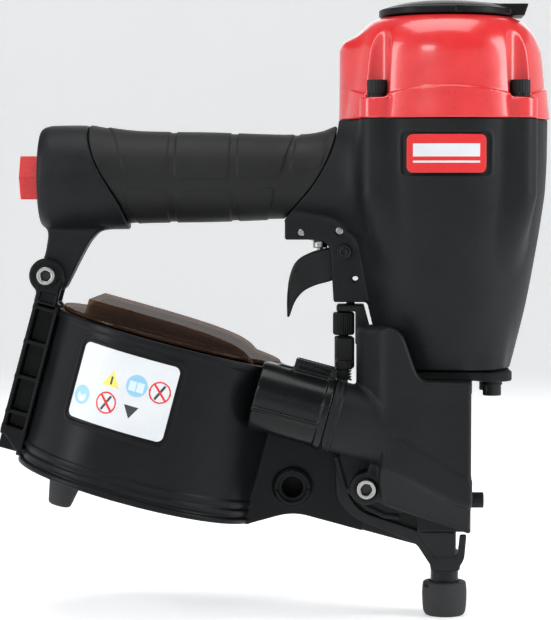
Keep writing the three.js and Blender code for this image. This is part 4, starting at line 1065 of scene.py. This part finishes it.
def cover_field(q):
    x, y, z = q
    across = np.hypot(x, y - CAN_Y)
    wall = prism(across - 60.0 - 0.6 * band(z, 8.8, 12.0) - 0.55 * band(z, 76.2, 81, 0.4), slab(z, 4.1, 80),
                 0.8)
    grooves = np.abs(np.mod(z - 22, 9) - 4.5)
    wall = wall + 0.35 * np.exp(-((grooves - 4.5) / 0.7) ** 2) * step_up(z, 20, 23) * (1 - step_up(z, 66, 69))
    wall = cut(wall, across - CAN_BORE, k=0.5)
    wall = np.maximum(wall, CAN_SPLIT + 0.4 - y)
    knuckle = join(rod_z(q, *COVER_HINGE, 4.2, 14.6, 70, 0.4),
                   box(q, (-60, -54), (16.5, 22), (14.6, 70), 0.4), k=0.8)
    beside = join(plate(q, [(56, 15.6), (114.6, 15.6), (114.6, 79.8), (56, 79)], (8.4, 10.5), 0.6),
                  box(q, (56, 60), (8.4, 17), (15.6, 79), 0.6), k=1.0)
    lugs = np.minimum(box(q, (-70, -55), (10, 24), (0, 14.4)), box(q, (-70, -55), (10, 24), (70, 90)))
    wall = np.maximum(wall, -lugs)
    body = join(wall, np.maximum(join(knuckle, beside, k=0.1), CAN_BORE - across), k=1.5)
    return cut(body, rod_z(q, *COVER_HINGE, 2.2, 0, 90), k=0.3)


sculpt("magazine_door", cover_field, "magazine_cover", (-65.5, 8, 3.5), (115.5, 69, 82.5),
       body="magazine_cover", step=0.66, leaning=True)


LID_ROOF = curve([(-46, 90.0), (-20, 89.8), (0, 89.4), (16, 88.6), (28, 87.2), (36, 84.9), (41, 81.5),
                  (44, 78)])


def lid_field(q):
    x, y, z = q
    disc = prism(np.hypot(x + 2, y - CAN_Y) - 56.5, slab(z, 80.4, 82.4), 0.6)
    roof = LID_ROOF(np.clip(x, -46, 44))
    block = np.maximum(box(q, (-44, 43), (-30, 46), (78, 92), 2.0), (z - roof) * 0.8)
    body = join(disc, block, k=0.8)
    inner = np.maximum(box(q, (-42.2, 41), (-28.2, 44.2), (70, 92), 1.0), (z + 1.9 - roof) * 0.8)
    return cut(body, inner, k=0.4)


sculpt("smoked_lid", lid_field, "magazine_lid", (-59, -49, 80), (55, 65, 96), body="magazine_cover",
       leaning=True)


def foot_field(q):
    x, y, z = q
    radius = curve([(-17, 5.0), (-15.6, 5.5), (-10, 6.7), (-0.2, 8.6), (1, 8.8)])
    across = np.hypot(x - FOOT[0], y - FOOT[1])
    body = prism((across - radius(np.clip(z, -17, 1))) * 0.97, slab(z, -15.6, -0.3), 1.4)
    return cut(body, rod_z(q, *FOOT, 2.2, -20, -11, 0.2), k=0.5)


sculpt("rubber_foot", foot_field, "magazine_foot", (-43.5, -17.5, -16), (-25, 1.5, 0), step=0.45,
       leaning=True)


def snap_field(q):
    x, y, z = q
    across = np.hypot(x - SNAP[0], z - SNAP[1])
    ring = prism(np.maximum(across - 8.75, 7.1 - across), slab(y, -13.1, -10.9), 0.5)
    angle = np.arctan2(z - SNAP[1], x - SNAP[0]) - 0.3
    slots = np.minimum(np.abs(across * np.sin(angle)), np.abs(across * np.cos(angle))) - 1.2
    return cut(ring, np.maximum(slots, y + 12.3), k=0.4)


sculpt("castellated_ring", snap_field, "magazine_snap_ring", (67, -13.5, 15), (86.5, -10.5, 34),
       material=PLASTIC, step=0.32, leaning=True)


# Fasteners

def socket_screw(name, node, axis, place, length, head_radius, head_height, hex_width, shank=2.5,
                 washer=None, knurled=False, painted_socket_shade=False, leaning=False):
    """A socket cap screw whose head faces along the axis. place is the middle of the head's outer face."""
    axis = np.array(axis, float)
    side = np.cross(axis, [0.13, 0.21, 0.97] if abs(axis[2]) < 0.9 else [1, 0, 0])
    side /= np.linalg.norm(side)
    other = np.cross(axis, side)
    place = np.array(place, float)

    def field(p):
        offset = [p[i] - place[i] for i in range(3)]
        along = sum(offset[i] * axis[i] for i in range(3))
        u = sum(offset[i] * side[i] for i in range(3))
        v = sum(offset[i] * other[i] for i in range(3))
        across = np.hypot(u, v)
        grip = 0.12 * np.cos(np.arctan2(v, u) * 24) if knurled else 0
        head = prism(across - head_radius - grip, slab(along, -head_height, 0), 0.45)
        made = join(head, prism(across - shank, slab(along, -length, -head_height + 0.5)), k=0.2)
        if washer:
            radius, thick = washer
            made = join(made, prism(across - radius, slab(along, -head_height - thick, -head_height), 0.25),
                        k=0.1)
            split = np.hypot(across - radius, along + head_height + thick / 2) - 0.3
            made = cut(made, split, k=0.2)
        socket = np.maximum(hexagon(u, v, hex_width), -(along + head_height * 0.72))
        made = cut(made, socket, k=0.25)
        if washer is None:
            rim = np.abs(across - hex_width * 0.5) * 0.7 + np.abs(along) - 0.5
            made = cut(made, rim, k=0.1)
        return made

    reach = head_radius + (washer[0] - head_radius if washer else 0) + 0.6
    ends = [place, place - axis * length]
    low = np.minimum(*ends) - reach * (1 - np.abs(axis)) - 0.3
    high = np.maximum(*ends) + reach * (1 - np.abs(axis)) + 0.3
    screw = sculpt(name, field, node, low, high, step=0.33, leaning=leaning)
    # Painted shade: the faces deep inside the hex socket get the dark seal rubber, standing in for the shade
    # in the socket's recess.
    if painted_socket_shade:
        screw.data.materials.append(SEAL_AND_SOCKET_SHADE)
        middle = to_frame(place[None], leaning)[0]
        outwards = to_frame((place + axis)[None], leaning)[0] - middle
        outwards /= np.linalg.norm(outwards)
        for face in screw.data.polygons:
            offset = np.array(face.center) - middle
            depth = -offset.dot(outwards) * 1000
            across = np.linalg.norm(offset + outwards * depth / 1000) * 1000
            if depth > 0.3 and across < hex_width * 0.6:
                face.material_index = 1
    return screw


for i, (sx, sy) in enumerate(CORNERS, 1):
    socket_screw(f"cap_screw_{i}", f"cap_bolt_{i}", (0, 0, 1), (sx * BOLT_OFFSET, sy * BOLT_OFFSET, 266.6),
                 40.6, 4.8, 6.0, 4.6, washer=(4.9, 2.5), knurled=True)
    socket_screw(f"nose_screw_{i}", f"nose_bolt_{i}", (0, 0, -1),
                 (sx * NOSE_SCREW[0], sy * NOSE_SCREW[1], 112.1),
                 16.4, 4.4, 5.3, 3.8, shank=1.5, washer=(5.2, 2.0), knurled=True)
socket_screw("side_screw", "nose_side_screw", (1, 0, 0), (18.4, *SIDE_SCREW), 9.2, 3.75, 6.4, 3.0, shank=1.6,
             knurled=True)
socket_screw("front_screw", "magazine_front_bolt", (0, -1, 0), (FRONT_BOLT[0], -31, FRONT_BOLT[1]),
             23.6, 4.75, 3.7, 5.0, shank=1.9, painted_socket_shade=True)
socket_screw("arm_screw", "magazine_arm_bolt", (0, -1, 0), (ARM_EYE[0], -15.3, ARM_EYE[1]),
             28.3, 4.5, 3.1, 4.8, shank=2.8, painted_socket_shade=True, leaning=True)


# Labels

def patch(name, node, point_at, size, counts, paint, materials, leaning=False, corner=3.0):
    """A thin curved label: a fine grid of faces, each with the material that paint(u, v) names."""
    width, height = size
    nu, nv = counts
    points, faces, picks = [], [], []
    number = {}

    def at(i, j, side):
        key = (i, j, side)
        if key not in number:
            u, v = (i / nu - 0.5) * width, (j / nv - 0.5) * height
            over_u, over_v = abs(u) - (width / 2 - corner), abs(v) - (height / 2 - corner)
            if over_u > 0 and over_v > 0:
                far = max(over_u, over_v) / math.hypot(over_u, over_v)
                u = math.copysign(width / 2 - corner + over_u * far, u)
                v = math.copysign(height / 2 - corner + over_v * far, v)
            number[key] = len(points)
            points.append(point_at(u, v, side * LABEL_THICK))
        return number[key]

    for i in range(nu):
        for j in range(nv):
            u, v = ((i + 0.5) / nu - 0.5) * width, ((j + 0.5) / nv - 0.5) * height
            faces.append([at(i, j, 1), at(i + 1, j, 1), at(i + 1, j + 1, 1), at(i, j + 1, 1)])
            picks.append(paint(u, v))
    border = ([(i, 0) for i in range(nu)] + [(nu, j) for j in range(nv)] + [(i, nv) for i in range(nu, 0, -1)]
              + [(0, j) for j in range(nv, 0, -1)])
    for (i, j), (m, n) in zip(border, border[1:] + border[:1]):
        faces.append([at(i, j, 0), at(m, n, 0), at(m, n, 1), at(i, j, 1)])
        picks.append(0)
    thing = mesh_object(name, to_frame(np.array(points), leaning), faces, materials[0])
    for material in materials[1:]:
        thing.data.materials.append(material)
    thing.data.polygons.foreach_set("material_index", picks)
    return settle(thing, node, "tool_body")


def on_head(u, v, lift):
    angle = (u - 1.5) / 50.9
    radius = 50.15 + lift
    return (radius * math.sin(angle), -radius * math.cos(angle), 230.8 + v)


def front_paint(u, v):
    bar = abs(u) < 16.5 and -1.6 < v < 4.8
    line = abs(u) < 16.5 and -4.6 < v < -3.4
    return 1 if bar or line else 0


patch("front_sticker", "front_label", on_head, (39.4, 18.4), (158, 74), front_paint,
      [LABEL_RED, LABEL_WHITE])


def on_can(u, v, lift):
    angle = (u - 16.0) / 60.3
    radius = 59.9 + lift
    return (radius * math.sin(angle), CAN_Y - radius * math.cos(angle), 52.0 + v)


def disc(u, v, at, radius):
    return math.hypot(u - at[0], v - at[1]) < radius


def side_paint(u, v):
    """Plain pictogram shapes with no lettering: two blue discs, two red rings and two triangles."""
    if disc(u, v, (-20.3, -7.0), 4.7):
        return 5 if disc(u, v, (-20.3, -7.8), 2.5) and not disc(u, v, (-20.3, -5.7), 1.5) else 1
    if disc(u, v, (7.3, 4.8), 5.4):
        return 5 if abs(u - 7.3) < 3.8 and abs(v - 4.4) < 2.4 and abs(u - 7.3) > 0.3 else 1
    for at in ((-5.8, -7.2), (19.0, 4.6)):
        from_middle = math.hypot(u - at[0], v - at[1])
        if 4.6 < from_middle < 5.4 or (from_middle < 5 and abs((u - at[0]) + (v - at[1])) < 0.8):
            return 2
        if from_middle < 4.2 and abs((u - at[0]) - 0.5 * (v - at[1])) < 0.7:
            return 4
    left, up = abs(u + 5.8), v - 0.9
    if 0 < up < 8 and left < (8 - up) * 0.6:
        return 4 if left < 0.5 and 1 < up < 5 else 3
    if abs(u - 7.2) < (v + 11.5) * 0.6 and -11.5 < v < -5.3:
        return 4
    return 0


patch("side_sticker", "side_label", on_can, (52.0, 37.4), (208, 150), side_paint,
      [LABEL_WHITE, LABEL_BLUE, LABEL_RED, LABEL_YELLOW, LABEL_INK, LABEL_PALE], leaning=True, corner=3.2)


# The inner CAD pieces keep their shape; their edges are rounded and they get a finish of their own.

def shade_group():
    group = bpy.data.node_groups.new("round_shading", "GeometryNodeTree")
    group.interface.new_socket("Geometry", in_out="INPUT", socket_type="NodeSocketGeometry")
    group.interface.new_socket("Geometry", in_out="OUTPUT", socket_type="NodeSocketGeometry")
    nodes, links = group.nodes, group.links
    start, end = nodes.new("NodeGroupInput"), nodes.new("NodeGroupOutput")
    faces, edges = nodes.new("GeometryNodeSetShadeSmooth"), nodes.new("GeometryNodeSetShadeSmooth")
    faces.domain, edges.domain = "FACE", "EDGE"
    edges.inputs["Shade Smooth"].default_value = False
    angle, sharp = nodes.new("GeometryNodeInputMeshEdgeAngle"), nodes.new("FunctionNodeCompare")
    sharp.data_type, sharp.operation = "FLOAT", "GREATER_THAN"
    sharp.inputs["B"].default_value = SHARP_ANGLE
    links.new(angle.outputs["Unsigned Angle"], sharp.inputs["A"])
    links.new(start.outputs["Geometry"], faces.inputs["Geometry"])
    links.new(faces.outputs["Geometry"], edges.inputs["Geometry"])
    links.new(sharp.outputs["Result"], edges.inputs["Selection"])
    links.new(edges.outputs["Geometry"], end.inputs["Geometry"])
    return group


round_shading = shade_group()
for name, thing in frame["nodes"].items():
    material = FINISH[SLOT_OF[name]]
    if not thing.material_slots:
        thing.data.materials.append(material)
    for holder in thing.material_slots:
        holder.material = material
    bevel = thing.modifiers.new("edges", "BEVEL")
    bevel.width = 0.00018
    bevel.segments = 2
    bevel.limit_method = "ANGLE"
    bevel.angle_limit = SHARP_ANGLE
    shading = thing.modifiers.new("shading", "NODES")
    shading.node_group = round_shading


# A pale floor that curves up into a backdrop on every side

FLOOR_FLAT, FLOOR_BEND = 1.5, 1.6
FLOOR_PROFILE = [(0.0, 0.0), (0.5, 0.0), (1.0, 0.0), (FLOOR_FLAT, 0.0)]
for bend in range(6, 85, 6):
    turned = math.radians(bend)
    FLOOR_PROFILE.append((FLOOR_FLAT + FLOOR_BEND * math.sin(turned), FLOOR_BEND * (1 - math.cos(turned))))


def floor():
    sides = 64
    points = [(0.0, 0.0, 0.0)]
    faces = []
    for level, (radius, height) in enumerate(FLOOR_PROFILE[1:]):
        for k in range(sides):
            angle = 2 * math.pi * k / sides
            points.append((radius * math.cos(angle), radius * math.sin(angle), height))
        first = 1 + level * sides
        for k in range(sides):
            a, b = first + k, first + (k + 1) % sides
            faces.append([0, a, b] if level == 0 else [a - sides, a, b, b - sides])
    material, nodes, links, bsdf = new_material("studio_floor")
    stops = [(0.3, (0.86, 0.865, 0.87)), (0.7, (0.89, 0.895, 0.90))]
    links.new(ramp(nodes, links, noise(nodes, links, 3), stops), bsdf.inputs["Base Color"])
    bsdf.inputs["Roughness"].default_value = 0.85
    bsdf.inputs["Emission Color"].default_value = (0.95, 0.96, 0.97, 1)
    bsdf.inputs["Emission Strength"].default_value = 0.42
    thing = mesh_object("floor", np.array(points), faces, material)


floor()
